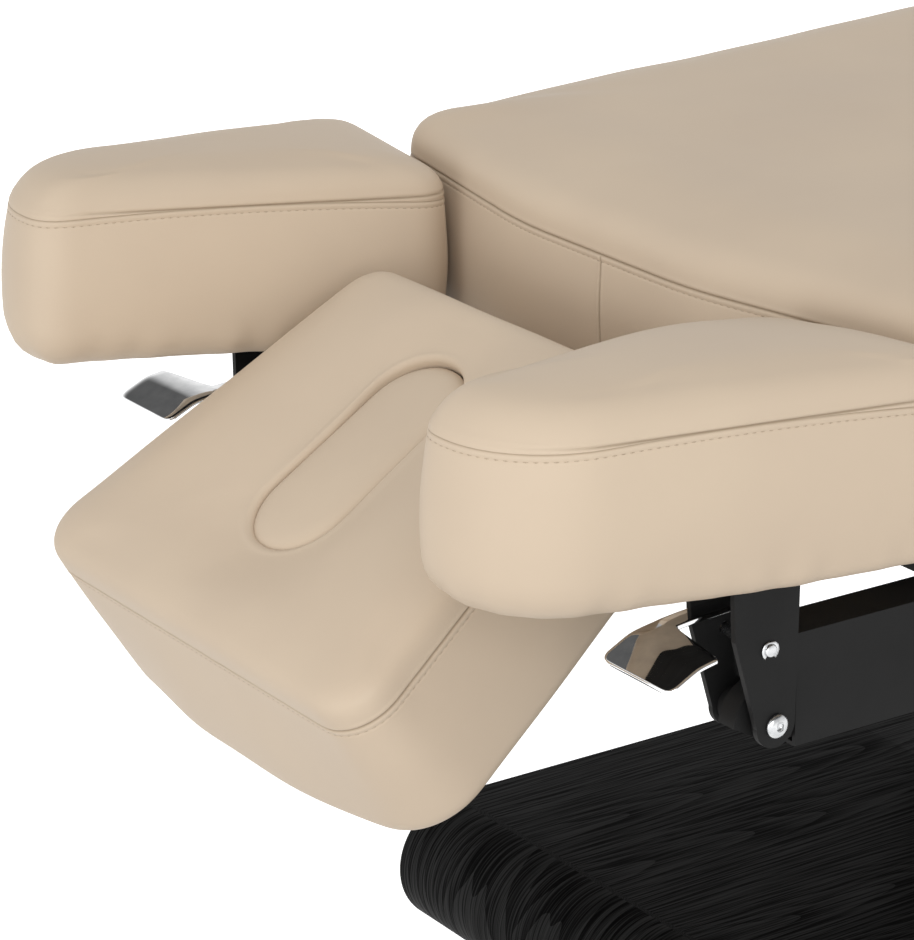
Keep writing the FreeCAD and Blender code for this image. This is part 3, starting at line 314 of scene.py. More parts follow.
@dataclass
class Cushion:
    """A boxed cushion: a crowned top panel sewn to an upright border, tacked under a board.

    Its skin is a grid. Columns run round the plan. Rows run out along the underside, round the bottom
    edge, up the border, over the seam and in over the crown to the middle, or down the wall of a well.
    The border stands out by a half sine between bottom and seam. The crown rises with the distance t from
    the seam, as a share of its reach, by (1 - (1 - t)^2.4)^shoulder, and a low dome lies on top of that;
    1 - t also fades out towards the middle, so that no ridge stands where two sides are equally near.
    The rows next to the seam lie at set heights f of that rise, t = 1 - (1 - f^(1 / shoulder))^(1 / 2.4).
    Towards a soft nose the bottom edge turns wider and lies higher, and the shoulder falls off more. Dips
    (x, y, spread, depth) press the crown down, and round a well it sinks by a Gaussian of well_reach."""

    # The cover's name, the body that it rides on, the CAD node that it stands for and the seam's plan.
    name: str
    body: str
    node: str
    plan: Plan
    # Heights of the seam and the underside, and the rise of the top over the seam within its reach.
    seam: float
    bottom: float
    crown: float
    reach: float
    # How far the border stands out, the radius of the bottom edge, and the most that the cover swells.
    bulge: float
    turn: float
    cap: float
    # The number that its folds and lumps are drawn from, and how tight it is filled, up to 1; the
    # fill is not used.
    seed: int
    fill: float = 0.8
    # The height of the dome on the crown, and the power of the crown's shoulder.
    dome: float = 4.0
    shoulder: float = 0.24
    # The seam rises by lean a millimetre from lean_x on, and its ends hang lower by bow.
    lean: float = 0.0
    lean_x: float = 0.0
    bow: float = 0.0
    # Plans of the bottom edge and of a well, where there are any, and the well's lip and dip.
    foot_plan: Plan = None
    well_plan: Plan = None
    lip: float = 6.0
    well_dip: float = 0.0
    well_reach: float = 30.0
    # Upright joints of the border, as (distance along the plan, slant).
    joints: tuple = ()
    # Depth of gathers at the bottom edge, of puckers at the seam, and of the hollow underside.
    gather: float = 0.0
    pucker: float = 0.15
    recess: float = 0.0
    # The nose: x where it starts, x where it is full, and the radius, lift and power added there.
    nose: tuple = (0.0, 1.0, 0.0, 0.0, 0.0)
    dips: tuple = ()
    # What keeps the shape clear of a hinge, and what turns it from its own level into place.
    shape: Callable = None
    place: Callable = None

    def __post_init__(self):
        self.ring = self.well_plan is not None
        self.span = np.ptp(self.plan.points[:, 0]) / 2
        self.centre = (self.well_plan if self.ring else self.plan).points.mean(axis=0)

    def seam_at(self, spots):
        """Height of the seam's straight line: seam + lean * (x - lean_x)."""
        return self.seam + self.lean * (spots[..., 0] - self.lean_x)

    def bow_at(self, spots):
        """How far the seam lies under its straight line: bow * u^2, u from -1 to 1 along the bed."""
        return self.bow * ((spots[..., 0] - self.lean_x) / self.span) ** 2

    def softened(self, edge):
        """The bottom edge's radius, the underside's height and the shoulder's power at points of the plan,
        which change along a smooth step from the nose's start to where it is full."""
        start, full, radius, lift, power = self.nose
        soft = smooth((edge[:, 0] - start) / (full - start))
        return self.turn + radius * soft, self.bottom + lift * soft, self.shoulder + power * soft

    def top(self, edge, normal, middle, shoulder, rows):
        """Points of the crown, from the seam to the middle, and their distances from the seam."""
        way = middle - edge
        close = self.reach * (1 - (1 - rows["above"][:, None] ** (1 / shoulder)) ** (1 / CROWN_POWER))
        above = close / -(way * normal).sum(axis=1)
        crown = above[-1] + (1 - above[-1]) * rows["crown"][:, None]
        share = np.vstack((above, crown))
        spots = edge + way * share[..., None]
        inset = np.vstack((close, self.plan.inset(spots[len(close):])))
        left = (1 - np.clip(inset / self.reach, 0, 1)) * (1 - share) ** 1.5
        rise = self.crown * (1 - left ** CROWN_POWER) ** shoulder
        rise += self.dome * (1 - (1 - share) ** 2) - self.bow_at(spots) * left
        for x, y, spread, fall in self.dips:
            off = ((spots - (x, y)) ** 2).sum(-1) / (2 * spread ** 2)
            rise -= fall * np.exp(-off) * rise / self.crown
        if self.ring:
            rise -= self.well_dip * hump((1 - share) * np.linalg.norm(way, axis=1), self.well_reach)
        return np.dstack((spots, self.seam_at(spots) + rise)), np.hypot(inset, rise)

    def well(self, brim, inward, bottom, rows):
        """Points over a well's lip, a quarter round from the brim of the crown, and down its wall."""
        angle = rows["lip"][:, None]
        lip_z = brim[:, 2] - self.lip * (1 - np.cos(angle))
        lip = np.dstack((brim[:, :2] + inward * (self.lip * np.sin(angle))[..., None], lip_z))
        wall_z = lip_z[-1] + rows["well"][:, None] * (bottom - lip_z[-1])
        wall = np.dstack((np.tile(lip[-1, :, :2], (len(wall_z), 1, 1)), wall_z))
        return np.concatenate((lip, wall))

    def grid(self, along, rows, relief):
        """The skin's points, as [row, column], with the seam's relief, gathers and lumps if asked, their
        distances from the seam, and how deep each lies in a fold, from 0 to 1."""
        edge, normal = self.plan.at(along)
        foot = self.foot_plan.seen_from(self.centre, edge) if self.foot_plan else edge
        middle = np.tile(self.centre, (len(edge), 1))
        if self.ring:
            middle = self.well_plan.seen_from(self.centre, edge)
        seam = self.seam_at(edge) - self.bow_at(edge)
        radius, bottom, shoulder = self.softened(edge)

        share = rows["under"][:, None, None]
        under = middle + (foot - normal * radius[:, None] - middle) * share
        hollow = bottom + self.recess * (1 - share[..., 0]) ** 0.3

        angle = rows["turn"][:, None]
        low = bottom + radius
        z = np.vstack((
            bottom + radius * (1 - np.cos(angle)),
            low + rows["border"][:, None] * (seam - SEAM_ZONE - low),
            seam + rows["below"][:, None]))
        drawn_in = np.zeros(z.shape)
        drawn_in[:len(angle)] = radius * (1 - np.sin(angle))
        level = np.clip((z - bottom) / (seam - bottom), 0, 1)
        drawn_in -= self.bulge * np.sin(np.pi * level)
        border = foot + (edge - foot) * smooth(level)[..., None] - normal * drawn_in[..., None]

        top, top_run = self.top(edge, normal, middle, shoulder, rows)
        bands = [np.dstack((under, hollow)), np.dstack((border, z)), top]
        runs = [np.full(hollow.shape, -FAR), z - seam, top_run]
        if self.ring:
            inward = (middle - edge) / np.linalg.norm(middle - edge, axis=1, keepdims=True)
            bands.append(self.well(top[-1], inward, bottom, rows))
            runs.append(np.full(bands[-1].shape[:2], FAR))

        points = np.concatenate(bands)
        run = np.concatenate(runs)
        crease = np.zeros(run.shape)
        if relief:
            points, crease = self.with_relief(points, run, along, normal, seam - bottom)
        if self.shape:
            points = self.shape(points)
        return points, run, crease

    def with_relief(self, points, run, along, normal, height):
        """Adds the seam, puckers along it, the border's joints, gathers at the bottom edge and lumps, each
        along the skin's own way out: level on the border, and upwards on the top."""
        tilt = np.clip((run + 1) / 9, 0, 1)[..., None]
        out = np.dstack((np.broadcast_to(normal, run.shape + (2,)), np.zeros(run.shape))) * (1 - tilt)
        out[..., 2] += tilt[..., 0]
        out /= np.linalg.norm(out, axis=-1, keepdims=True)
        length = self.plan.length
        creases = ripple(along, length, (23, 31, 44, 67), self.seed)
        strength = 0.45 + 0.55 * np.clip(ripple(along, length, (160, 310), self.seed + 1), -1, 1)
        move = seam_relief(run) + self.pucker * creases * strength * np.exp(-np.abs(run) / 9)
        move += 0.7 * lumps(points, self.seed + 2) * np.clip(np.abs(run) / 25, 0, 1)
        folds = ripple(along, length, (34, 47, 62), self.seed + 3)
        move += self.gather * folds * hump(run + height - 10, 16)
        crease = hump(run, 0.8)
        for joint, slant in self.joints:
            off = self.apart(along, joint) + slant * np.minimum(run, 0)
            line = -1.5 * hump(off, 0.8) + 0.4 * hump(np.abs(off) - 2.4, 1.4)
            sewn = np.clip(-run / 3, 0, 1) * np.clip((run + height) / 12, 0, 1)
            move += line * sewn
            crease = np.maximum(crease, sewn * hump(off, 0.9))
        move[np.abs(run) == FAR] = 0
        return points + out * move[..., None], crease

    def apart(self, along, joint):
        """Distances round the plan from a joint, the shorter way, less than 0 before it."""
        return (along - joint + self.plan.length / 2) % self.plan.length - self.plan.length / 2

    def columns(self):
        """Distances along the plan: even steps of about 4.5 mm, closer beside each joint of the border."""
        length = self.plan.length
        along = np.linspace(0, length, int(length / COLUMN_STEP), endpoint=False)
        for joint, slant in self.joints:
            reach = 4.2 + abs(slant) * (self.seam - self.bottom)
            near = np.arange(-reach, reach + 0.1, 0.6)
            kept = along[np.abs(self.apart(along, joint)) > reach + 1.3]
            along = np.concatenate((kept, (joint + near) % length))
        return np.sort(along)

    def swell(self):
        """Blows up a coarse cover, held at the underside, the seam and a well, and gives how far its points
        moved, at most cap, for every point of the fine grid: between rows by straight lines, and between
        columns by a bell 0.8 columns wide."""
        count = int(self.plan.length / COVER_STEP)
        along = np.arange(count) * self.plan.length / count
        start = self.grid(along, COARSE, False)[0]
        cover = closed_skin(self.name + "_cover", start, self.ring)
        seam_row = sum(len(COARSE[band]) for band in ("under", "turn", "border", "below"))
        held_rows = list(range(len(COARSE["under"]) + 1)) + [seam_row]
        if self.ring:
            held_rows += range(len(start) - sum(len(COARSE[band]) for band in WELL_BANDS) - 2, len(start))
        index = np.arange(len(start) * count).reshape(len(start), count)
        cover.vertex_groups.new(name="held").add(index[held_rows].ravel().tolist(), 1.0, "REPLACE")
        moved = blown_up(cover)[:index.size].reshape(start.shape) - start
        far = np.linalg.norm(moved, axis=-1, keepdims=True)
        moved *= np.minimum(1, self.cap / np.maximum(far, 1e-6))
        moved = (np.roll(moved, 1, 1) + 2 * moved + np.roll(moved, -1, 1)) / 4
        low = row_places(COARSE, self.ring)
        fine = row_places(FINE, self.ring)
        spread = np.stack([np.interp(fine, low, unit) for unit in np.eye(len(low))], axis=-1)
        off = (self.columns()[:, None] - along[None]) / (self.plan.length / count)
        near = hump((off + count / 2) % count - count / 2, 0.8)
        near /= near.sum(axis=1, keepdims=True)
        return np.einsum("rc,cka,uk->rua", spread, moved, near)

    def build(self):
        """Makes the cushion and its stitches, and gives both objects. The seam holds the swelling back,
        and the border, which is stiffer, moves about a third as far as the top."""
        grid, run, crease = self.grid(self.columns(), FINE, True)
        free = np.where(run < 0, 0.35, 1) * (1 - hump(run, 24))
        grid = grid + self.swell() * free[..., None]
        for change in (self.shape, self.place):
            grid = change(grid) if change else grid
        cushion = closed_skin(self.name, grid, self.ring)
        # The crease attribute is the mask for the painted shade that the leatherette puts in its seams and
        # joints.
        fold = np.zeros(len(cushion.data.vertices), np.float32)
        fold[:crease.size] = crease.ravel()
        cushion.data.attributes.new("crease", "FLOAT", "POINT").data.foreach_set("value", fold)
        row = sum(len(FINE[band]) for band in ("under", "turn", "border"))
        row += int(np.argmin(np.abs(FINE["below"] + STITCH_BELOW)))
        return cushion, stitches(self.name + "_stitches", grid[row], grid[row + 1])


def stitches(name, line, higher):
    """A row of sewn stitches along a closed line on a skin: one small flattened capsule, 6 sides by 5
    rings, set at each even step with its length along the line and its flat side on the skin."""
    closed = np.vstack((line, line[:1]))
    steps = lengths(closed)
    count = int(steps[-1] / STITCH_PITCH)
    spots = np.arange(count) * steps[-1] / count
    seat = sampled(spots, steps, closed)
    ahead = sampled((spots + 1.0) % steps[-1], steps, closed) - seat
    ahead /= np.linalg.norm(ahead, axis=1, keepdims=True)
    up = sampled(spots, steps, np.vstack((higher, higher[:1])) - closed)
    out = np.cross(ahead, up)
    out /= np.linalg.norm(out, axis=1, keepdims=True)
    side = np.cross(out, ahead)
    bend = np.radians((-90, -50, 0, 50, 90))[:, None]
    turn = np.linspace(0, 2 * np.pi, 6, endpoint=False)
    girth = np.clip(np.cos(bend), 0.08, 1)
    long = 2.1 * np.sin(bend) + 0 * turn
    across = 0.5 * girth * np.sin(turn)
    thick = 0.42 * girth * np.cos(turn) - 0.28 * np.abs(np.sin(bend)) + 0.12
    points = (
        seat[:, None, None] + long[..., None] * ahead[:, None, None]
        + across[..., None] * side[:, None, None] + thick[..., None] * out[:, None, None])
    _, quads, triangles = skin_of(points[0])
    ends = np.stack((points[:, 0].mean(axis=1), points[:, -1].mean(axis=1)), axis=1)
    every = np.concatenate((points.reshape(count, -1, 3), ends), axis=1)
    shift = (np.arange(count) * every.shape[1])[:, None, None]
    return make_piece(
        name, every.reshape(-1, 3), (quads + shift).reshape(-1, 4), (triangles + shift).reshape(-1, 3))


# Materials

def linear(code):
    """The linear colour of an sRGB hex code: ((c + 0.055) / 1.055)^2.4, or c / 12.92 where it is dark."""
    parts = [int(code[i:i + 2], 16) / 255 for i in (1, 3, 5)]
    return tuple(c / 12.92 if c <= 0.04045 else ((c + 0.055) / 1.055) ** 2.4 for c in parts) + (1.0,)


def wire(tree, item, inputs):
    """Sets a node's sockets to values, or links them to a (node, output)."""
    for name, value in dict(inputs).items():
        if isinstance(value, tuple) and isinstance(value[0], bpy.types.Node):
            tree.links.new(value[0].outputs[value[1]], item.inputs[name])
        else:
            item.inputs[name].default_value = value


def add(tree, kind, inputs=(), stops=(), **settings):
    """Adds a node: inputs are its sockets' values or links, stops the (place, hex colour) pairs of its
    colour ramp, where it has one, and settings its other properties."""
    item = tree.nodes.new("ShaderNode" + kind)
    for name, value in settings.items():
        setattr(item, name, value)
    for _ in stops[2:]:
        item.color_ramp.elements.new(0.5)
    for number, (place, code) in enumerate(stops):
        item.color_ramp.elements[number].position = place
        item.color_ramp.elements[number].color = linear(code)
    wire(tree, item, inputs)
    return item


def start_material(name, **sockets):
    """A material, its node tree and its Principled shader, whose constant sockets are set here."""
    material = bpy.data.materials.new(name)
    material.use_nodes = True
    tree = material.node_tree
    shader = tree.nodes["Principled BSDF"]
    wire(tree, shader, {socket.replace("_", " "): value for socket, value in sockets.items()})
    return material, tree, shader


def per_mm(size):
    """Scale of a noise or cell pattern, in object metres, whose features are about size mm wide."""
    return 1.0 / (size * MM)


def leatherette():
    """Beige PVC leatherette, calendered and embossed: an even satin skin with a fine pebble that only
    softens the highlight. The pebble is 1.6 mm here, coarser than the real 0.6 mm, so that it shows. The
    piece's own crease attribute darkens the depth of a seam with painted shade."""
    material, tree, shader = start_material(
        "leatherette_beige_embossed", Specular_IOR_Level=0.16, Sheen_Weight=0.02, Sheen_Roughness=0.45)
    place = (add(tree, "TexCoord"), "Object")
    cloud = add(tree, "TexNoise", {"Vector": place, "Scale": per_mm(160), "Detail": 3.0})
    tone = add(tree, "ValToRGB", {"Fac": (cloud, "Fac")}, stops=((0.3, "#C5B39E"), (0.7, "#CAB8A2")))
    fold = add(tree, "Attribute", attribute_name="crease")
    # Painted shade: the colour turns towards #9A8974 where the crease attribute marks the depth of a seam
    # or joint.
    tone = add(tree, "Mix", {0: (fold, "Fac"), 6: (tone, "Color"), 7: linear("#9A8974")}, data_type="RGBA")
    pebble = add(tree, "TexVoronoi", {"Vector": place, "Scale": per_mm(1.6)}, feature="SMOOTH_F1")
    grain = add(tree, "TexNoise", {"Vector": place, "Scale": per_mm(0.9), "Detail": 2.0})
    mixed = add(tree, "Math", {0: (pebble, "Distance"), 1: (grain, "Fac")}, operation="ADD")
    bump = add(tree, "Bump", {"Height": (mixed, 0), "Strength": 0.10, "Distance": 0.0003})
    wear = add(tree, "MapRange", {"Value": (cloud, "Fac"), "To Min": 0.44, "To Max": 0.52})
    wire(tree, shader, {"Base Color": (tone, 2), "Roughness": (wear, "Result"), "Normal": (bump, "Normal")})
    return material


def thread():
    """Bonded polyester thread, twisted: a matt line, darker than the cover, in 0.7 mm turns."""
    material, tree, shader = start_material("polyester_thread_twisted", Roughness=0.7)
    place = (add(tree, "TexCoord"), "Object")
    twist = add(tree, "TexNoise", {"Vector": place, "Scale": per_mm(0.7), "Detail": 1.0})
    tone = add(tree, "ValToRGB", {"Fac": (twist, "Fac")}, stops=((0.35, "#A08E79"), (0.65, "#BBA994")))
    wire(tree, shader, {"Base Color": (tone, "Color")})
    return material


def dark_film(name, dark, light, roughness):
    """A baked powder coat, a paint or a black anodised skin: a matt dark film, slightly clouded, with a
    faint orange peel of about 1.2 mm."""
    material, tree, shader = start_material(name, Specular_IOR_Level=0.16)
    place = (add(tree, "TexCoord"), "Object")
    peel = add(tree, "TexNoise", {"Vector": place, "Scale": per_mm(1.2), "Detail": 2.0})
    cloud = add(tree, "TexNoise", {"Vector": place, "Scale": per_mm(60), "Detail": 2.0})
    tone = add(tree, "ValToRGB", {"Fac": (cloud, "Fac")}, stops=((0.3, dark), (0.7, light)))
    rough = add(tree, "MapRange", {
        "Value": (peel, "Fac"), "To Min": roughness - 0.06, "To Max": roughness + 0.06})
    bump = add(tree, "Bump", {"Height": (peel, "Fac"), "Strength": 0.12, "Distance": 0.0002})
    wire(tree, shader, {
        "Base Color": (tone, "Color"), "Roughness": (rough, "Result"), "Normal": (bump, "Normal")})
    return material


LEAF = 120.0
LEAF_SHIFT = 1097.0
HEART = 44.0
RING = 4.5


def ash_veneer(name, wrapped):
    """Black-stained ash veneer, open-pored and matt lacquered: charcoal wood with thin black pore
    streaks in the early wood of each ring. The leaf is cut flat from a slightly conical log, so rings of
    radius sqrt(y^2 + depth^2), 4.5 mm apart, draw arches in the middle of each 240 mm leaf and straight
    lines beside them. The streaks, 2 mm wide, follow a wrapped sheet round its rounded ends, by the piece's
    own grain attribute, in mm."""
    material, tree, shader = start_material(name, Specular_IOR_Level=0.05)
    if wrapped:
        place = (add(tree, "Attribute", attribute_name="grain"), "Vector")
    else:
        place = (add(tree, "TexCoord"), "Object")
        place = (add(tree, "VectorMath", {0: place, 1: (1 / MM, 1 / MM, 1 / MM)}, operation="MULTIPLY"), 0)
    long = add(tree, "Mapping", {"Vector": place, "Scale": (1 / 230, 1 / 70, 1 / 70)})
    drift = add(tree, "TexNoise", {"Vector": (long, 0), "Scale": 1.0, "Detail": 2.5})
    split = add(tree, "SeparateXYZ", {"Vector": place})
    across = add(tree, "Math", {0: (split, "Y"), 1: (split, "Z")}, operation="ADD")
    across = add(tree, "Math", {0: (drift, "Fac"), 1: 22.0, 2: (across, 0)}, operation="MULTIPLY_ADD")
    across = add(tree, "Math", {0: (across, 0), 1: LEAF_SHIFT}, operation="ADD")
    leaf = add(tree, "Math", {0: (across, 0), 1: LEAF}, operation="PINGPONG")
    aside = add(tree, "Math", {0: (leaf, 0), 1: -HEART}, operation="ADD")
    depth = add(tree, "Math", {0: (split, "X"), 1: 0.045, 2: 34.0}, operation="MULTIPLY_ADD")
    depth = add(tree, "Math", {0: (drift, "Fac"), 1: 16.0, 2: (depth, 0)}, operation="MULTIPLY_ADD")
    spot = add(tree, "CombineXYZ", {"X": (aside, 0), "Y": (depth, 0)})
    radius = add(tree, "VectorMath", {0: (spot, 0)}, operation="LENGTH")
    rings = add(tree, "Math", {0: (radius, "Value"), 1: RING}, operation="DIVIDE")
    ring = add(tree, "Math", {0: (rings, 0)}, operation="FRACT")
    streak = add(tree, "Mapping", {"Vector": place, "Scale": (1 / 130, 1 / 2.0, 1 / 2.0)})
    pores = add(tree, "TexNoise", {"Vector": (streak, 0), "Scale": 1.0, "Detail": 3.0, "Roughness": 0.6})
    weight = add(tree, "MapRange", {"Value": (ring, 0), "To Min": -0.09, "To Max": 0.07})
    figure = add(tree, "Math", {0: (pores, "Fac"), 1: (weight, 0)}, operation="ADD")
    tone = add(tree, "ValToRGB", {"Fac": (figure, 0)}, stops=(
        (0.41, "#010101"), (0.49, "#151515"), (0.62, "#272727")))
    rough = add(tree, "MapRange", {
        "Value": (figure, 0), "From Min": 0.36, "From Max": 0.5, "To Min": 0.8, "To Max": 0.6})
    bump = add(tree, "Bump", {"Height": (figure, 0), "Strength": 0.3, "Distance": 0.0003})
    wire(tree, shader, {
        "Base Color": (tone, "Color"), "Roughness": (rough, "Result"), "Normal": (bump, "Normal")})
    return material


def bright_metal(name, tone_low, tone_high, rough_low, rough_high, mark):
    """Bare bright metal: steel polished to a mirror, or zinc-plated and slightly milky, with marks of
    the given width in mm that only the gloss shows."""
    material, tree, shader = start_material(name, Metallic=1.0)
    place = (add(tree, "TexCoord"), "Object")
    marks = add(tree, "TexNoise", {"Vector": place, "Scale": per_mm(mark), "Detail": 3.0})
    tone = add(tree, "ValToRGB", {"Fac": (marks, "Fac")}, stops=((0.3, tone_low), (0.7, tone_high)))
    rough = add(tree, "MapRange", {"Value": (marks, "Fac"), "To Min": rough_low, "To Max": rough_high})
    wire(tree, shader, {"Base Color": (tone, "Color"), "Roughness": (rough, "Result")})
    return material


def plywood(name, dark, light):
    """Birch plywood, sanded or stained black: a straight figure about 5 mm wide along the bed."""
    material, tree, shader = start_material(name, Specular_IOR_Level=0.2)
    place = (add(tree, "TexCoord"), "Object")
    along = add(tree, "Mapping", {"Vector": place, "Scale": (per_mm(120), per_mm(5), per_mm(1.4))})
    figure = add(tree, "TexNoise", {"Vector": (along, 0), "Scale": 1.0, "Detail": 4.0})
    tone = add(tree, "ValToRGB", {"Fac": (figure, "Fac")}, stops=((0.3, dark), (0.7, light)))
    rough = add(tree, "MapRange", {"Value": (figure, "Fac"), "To Min": 0.75, "To Max": 0.6})
    bump = add(tree, "Bump", {"Height": (figure, "Fac"), "Strength": 0.1, "Distance": 0.0003})
    wire(tree, shader, {
        "Base Color": (tone, "Color"), "Roughness": (rough, "Result"), "Normal": (bump, "Normal")})
    return material


def moulded(name, dark, light, roughness, grit):
    """Moulded black plastic or rubber: a soft sheen broken by an even texture of the given width in mm."""
    material, tree, shader = start_material(name, Specular_IOR_Level=0.45)
    place = (add(tree, "TexCoord"), "Object")
    texture = add(tree, "TexVoronoi", {"Vector": place, "Scale": per_mm(grit)}, feature="SMOOTH_F1")
    tone = add(tree, "ValToRGB", {"Fac": (texture, "Distance")}, stops=((0.1, dark), (0.7, light)))
    rough = add(tree, "MapRange", {
        "Value": (texture, "Distance"), "To Min": roughness - 0.08, "To Max": roughness + 0.08})
    bump = add(tree, "Bump", {"Height": (texture, "Distance"), "Strength": 0.12, "Distance": 0.0002})
    wire(tree, shader, {
        "Base Color": (tone, "Color"), "Roughness": (rough, "Result"), "Normal": (bump, "Normal")})
    return material


# Finishes by the record's material slots, and three for pieces that differ from their slot
MATERIALS = {
    "beige_leatherette": leatherette(),
    "plywood": plywood("birch_plywood_sanded", "#A98A63", "#C6A57B"),
    "black_ash_veneer": ash_veneer("ash_veneer_stained_black", False),
    "rubber": moulded("natural_rubber_moulded", "#161616", "#242424", 0.7, 1.4),
    "black_plastic": moulded("abs_black_moulded", "#1A1A1B", "#262628", 0.5, 1.1),
    "black_aluminium": dark_film("aluminium_anodised_black", "#202122", "#2C2D2F", 0.38),
    "polished_steel": bright_metal("steel_polished_mirror", "#DADBDC", "#EFEFEF", 0.02, 0.05, 14),
    "bright_steel": bright_metal("steel_zinc_plated", "#B4B6B8", "#D2D3D4", 0.2, 0.32, 6),
    "motor_case": dark_film("steel_painted_dark_grey", "#2A2A2C", "#38383A", 0.42),
    "black_powder_coat": dark_film("steel_powder_coat_black", "#141414", "#1A1A1A", 0.6),
}
thread_beige = thread()
plywood_stained = plywood("birch_plywood_stained_black", "#0B0B0B", "#161514")
ash_wrapped = ash_veneer("ash_veneer_wrapped", True)


def dress(piece, slot, body, *nodes, material=None):
    """Gives a new piece a material, its slot's own unless another is given, and its body, and hides the
    CAD nodes that it stands for.
    """
    piece.data.materials.clear()
    piece.data.materials.append(material or MATERIALS[slot])
    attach(piece, body)
    if nodes:
        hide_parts(*nodes)


for node in frame["nodes"].values():
    slot_name = node.data.materials[0].name.split(".")[0]
    node.data.materials[0] = MATERIALS[slot_name]
for board in ("armrest_board_left", "armrest_board_right", "head_board"):
    frame["nodes"][board].data.materials[0] = plywood_stained


# Cushions of the bed, with each corner of a plan as (x, y, radius)

def extent(node):
    """The lowest and highest corners of a CAD node in mm, to a thousandth."""
    return [np.round(np.array(corner) / MM, 3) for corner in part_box(node)]


def hinge_at(name):
    """The (x, z) of a hinge in mm."""
    joint = next(joint for joint in frame["record"]["behaviour"]["joints"] if joint["name"] == name)
    return joint["pos_m"][0] / MM, joint["pos_m"][2] / MM


HIP = hinge_at("back_hinge")
KNEE = hinge_at("leg_hinge")
ARM_PIVOT = hinge_at("armrest_right_hinge")
HINGE_ROUND = 99.0
SEAT_LOW, SEAT_HIGH = extent("seat_cushion")
LEG_LOW, LEG_HIGH = extent("leg_cushion")
HALF_TOP = SEAT_HIGH[1]
BOARD_TOP = SEAT_LOW[2]
# How far the head section tips down and each armrest up at rest, in degrees
HEAD_TILT = 34.0
TILT = {"right": 0.6, "left": 2.6}


def drawn_onto(hinge, side):
    """A function that draws what lies beyond a hinge's circle back onto it: above and behind the hinge
    where side is 1, below and before it where side is -1."""
    def draw(points):
        off_x = points[..., 0] - hinge[0]
        off_z = points[..., 2] - hinge[1]
        far = np.hypot(off_x, off_z)
        out = (side * off_x > 0) & (side * off_z > 0) & (far > HINGE_ROUND)
        share = np.where(out, HINGE_ROUND / np.maximum(far, 1), 1)
        return np.dstack((hinge[0] + off_x * share, points[..., 1], hinge[1] + off_z * share))
    return draw


def turned(pivot, degrees):
    """A function that turns points about a cross axis, lifting the head end by the given angle."""
    cosine = math.cos(math.radians(degrees))
    sine = math.sin(math.radians(degrees))

    def turn(points):
        off_x = points[..., 0] - pivot[0]
        off_z = points[..., 2] - pivot[1]
        return np.stack((
            pivot[0] + off_x * cosine + off_z * sine, points[..., 1],
            pivot[1] - off_x * sine + off_z * cosine), axis=-1)
    return turn


back_plan = Plan((
    (-548, 110, 420), (-548, -110, 420), (-504, -HALF_TOP, 34), (194, -HALF_TOP, 24),
    (194, HALF_TOP, 24), (-504, HALF_TOP, 34)), 7)
seat_plan = Plan((
    (SEAT_LOW[0], -HALF_TOP, 24), (SEAT_HIGH[0], -HALF_TOP, 24), (SEAT_HIGH[0], HALF_TOP, 24),
    (SEAT_LOW[0], HALF_TOP, 24)), 6)
leg_plan = Plan((
    (LEG_LOW[0], -HALF_TOP, 24), (LEG_HIGH[0], -HALF_TOP, 90), (LEG_HIGH[0], HALF_TOP, 90),
    (LEG_LOW[0], HALF_TOP, 24)), 6)
head_plan = Plan(((-907, -229, 38), (-557, -163, 34), (-557, 172, 34), (-907, 235, 38)), 6)
head_foot_plan = Plan((
    (-926, -80, 500), (-905, -229, 56), (-560, -163, 44), (-560, 170, 44), (-905, 233, 56),
    (-926, 80, 500)), 10)
well_plan = Plan(((-820.5, -51, 49), (-606.5, -51, 49), (-606.5, 51, 49), (-820.5, 51, 49)), 3)
plug_plan = Plan(((-816.5, -47, 45.5), (-613.5, -47, 45.5), (-613.5, 47, 45.5), (-816.5, 47, 45.5)), 3)
arm_right_plan = Plan(((-911, -384, 86), (-514, -428, 28), (-551, -210, 36), (-911, -275, 26)), 8)
arm_left_plan = Plan(((-907, 275, 26), (-551, 210, 36), (-514, 428, 28), (-907, 384, 86)), 8)

# What the three sections of the bed share, and what both armrests share
SECTION = {"bottom": BOARD_TOP, "bulge": 3, "turn": 14, "cap": 5}
ARMREST = {
    "seam": 729, "bottom": 601, "crown": 26, "reach": 56, "bulge": 6, "turn": 13, "cap": 4, "recess": 3,
    "lean": -0.02, "lean_x": -731, "gather": 1.0, "pucker": 0.2, "shoulder": 0.42, "bow": 7,
    "nose": (-660, -870, 20, 0, 0.35),
}
head_place = turned(hinge_at("head_hinge"), -HEAD_TILT)

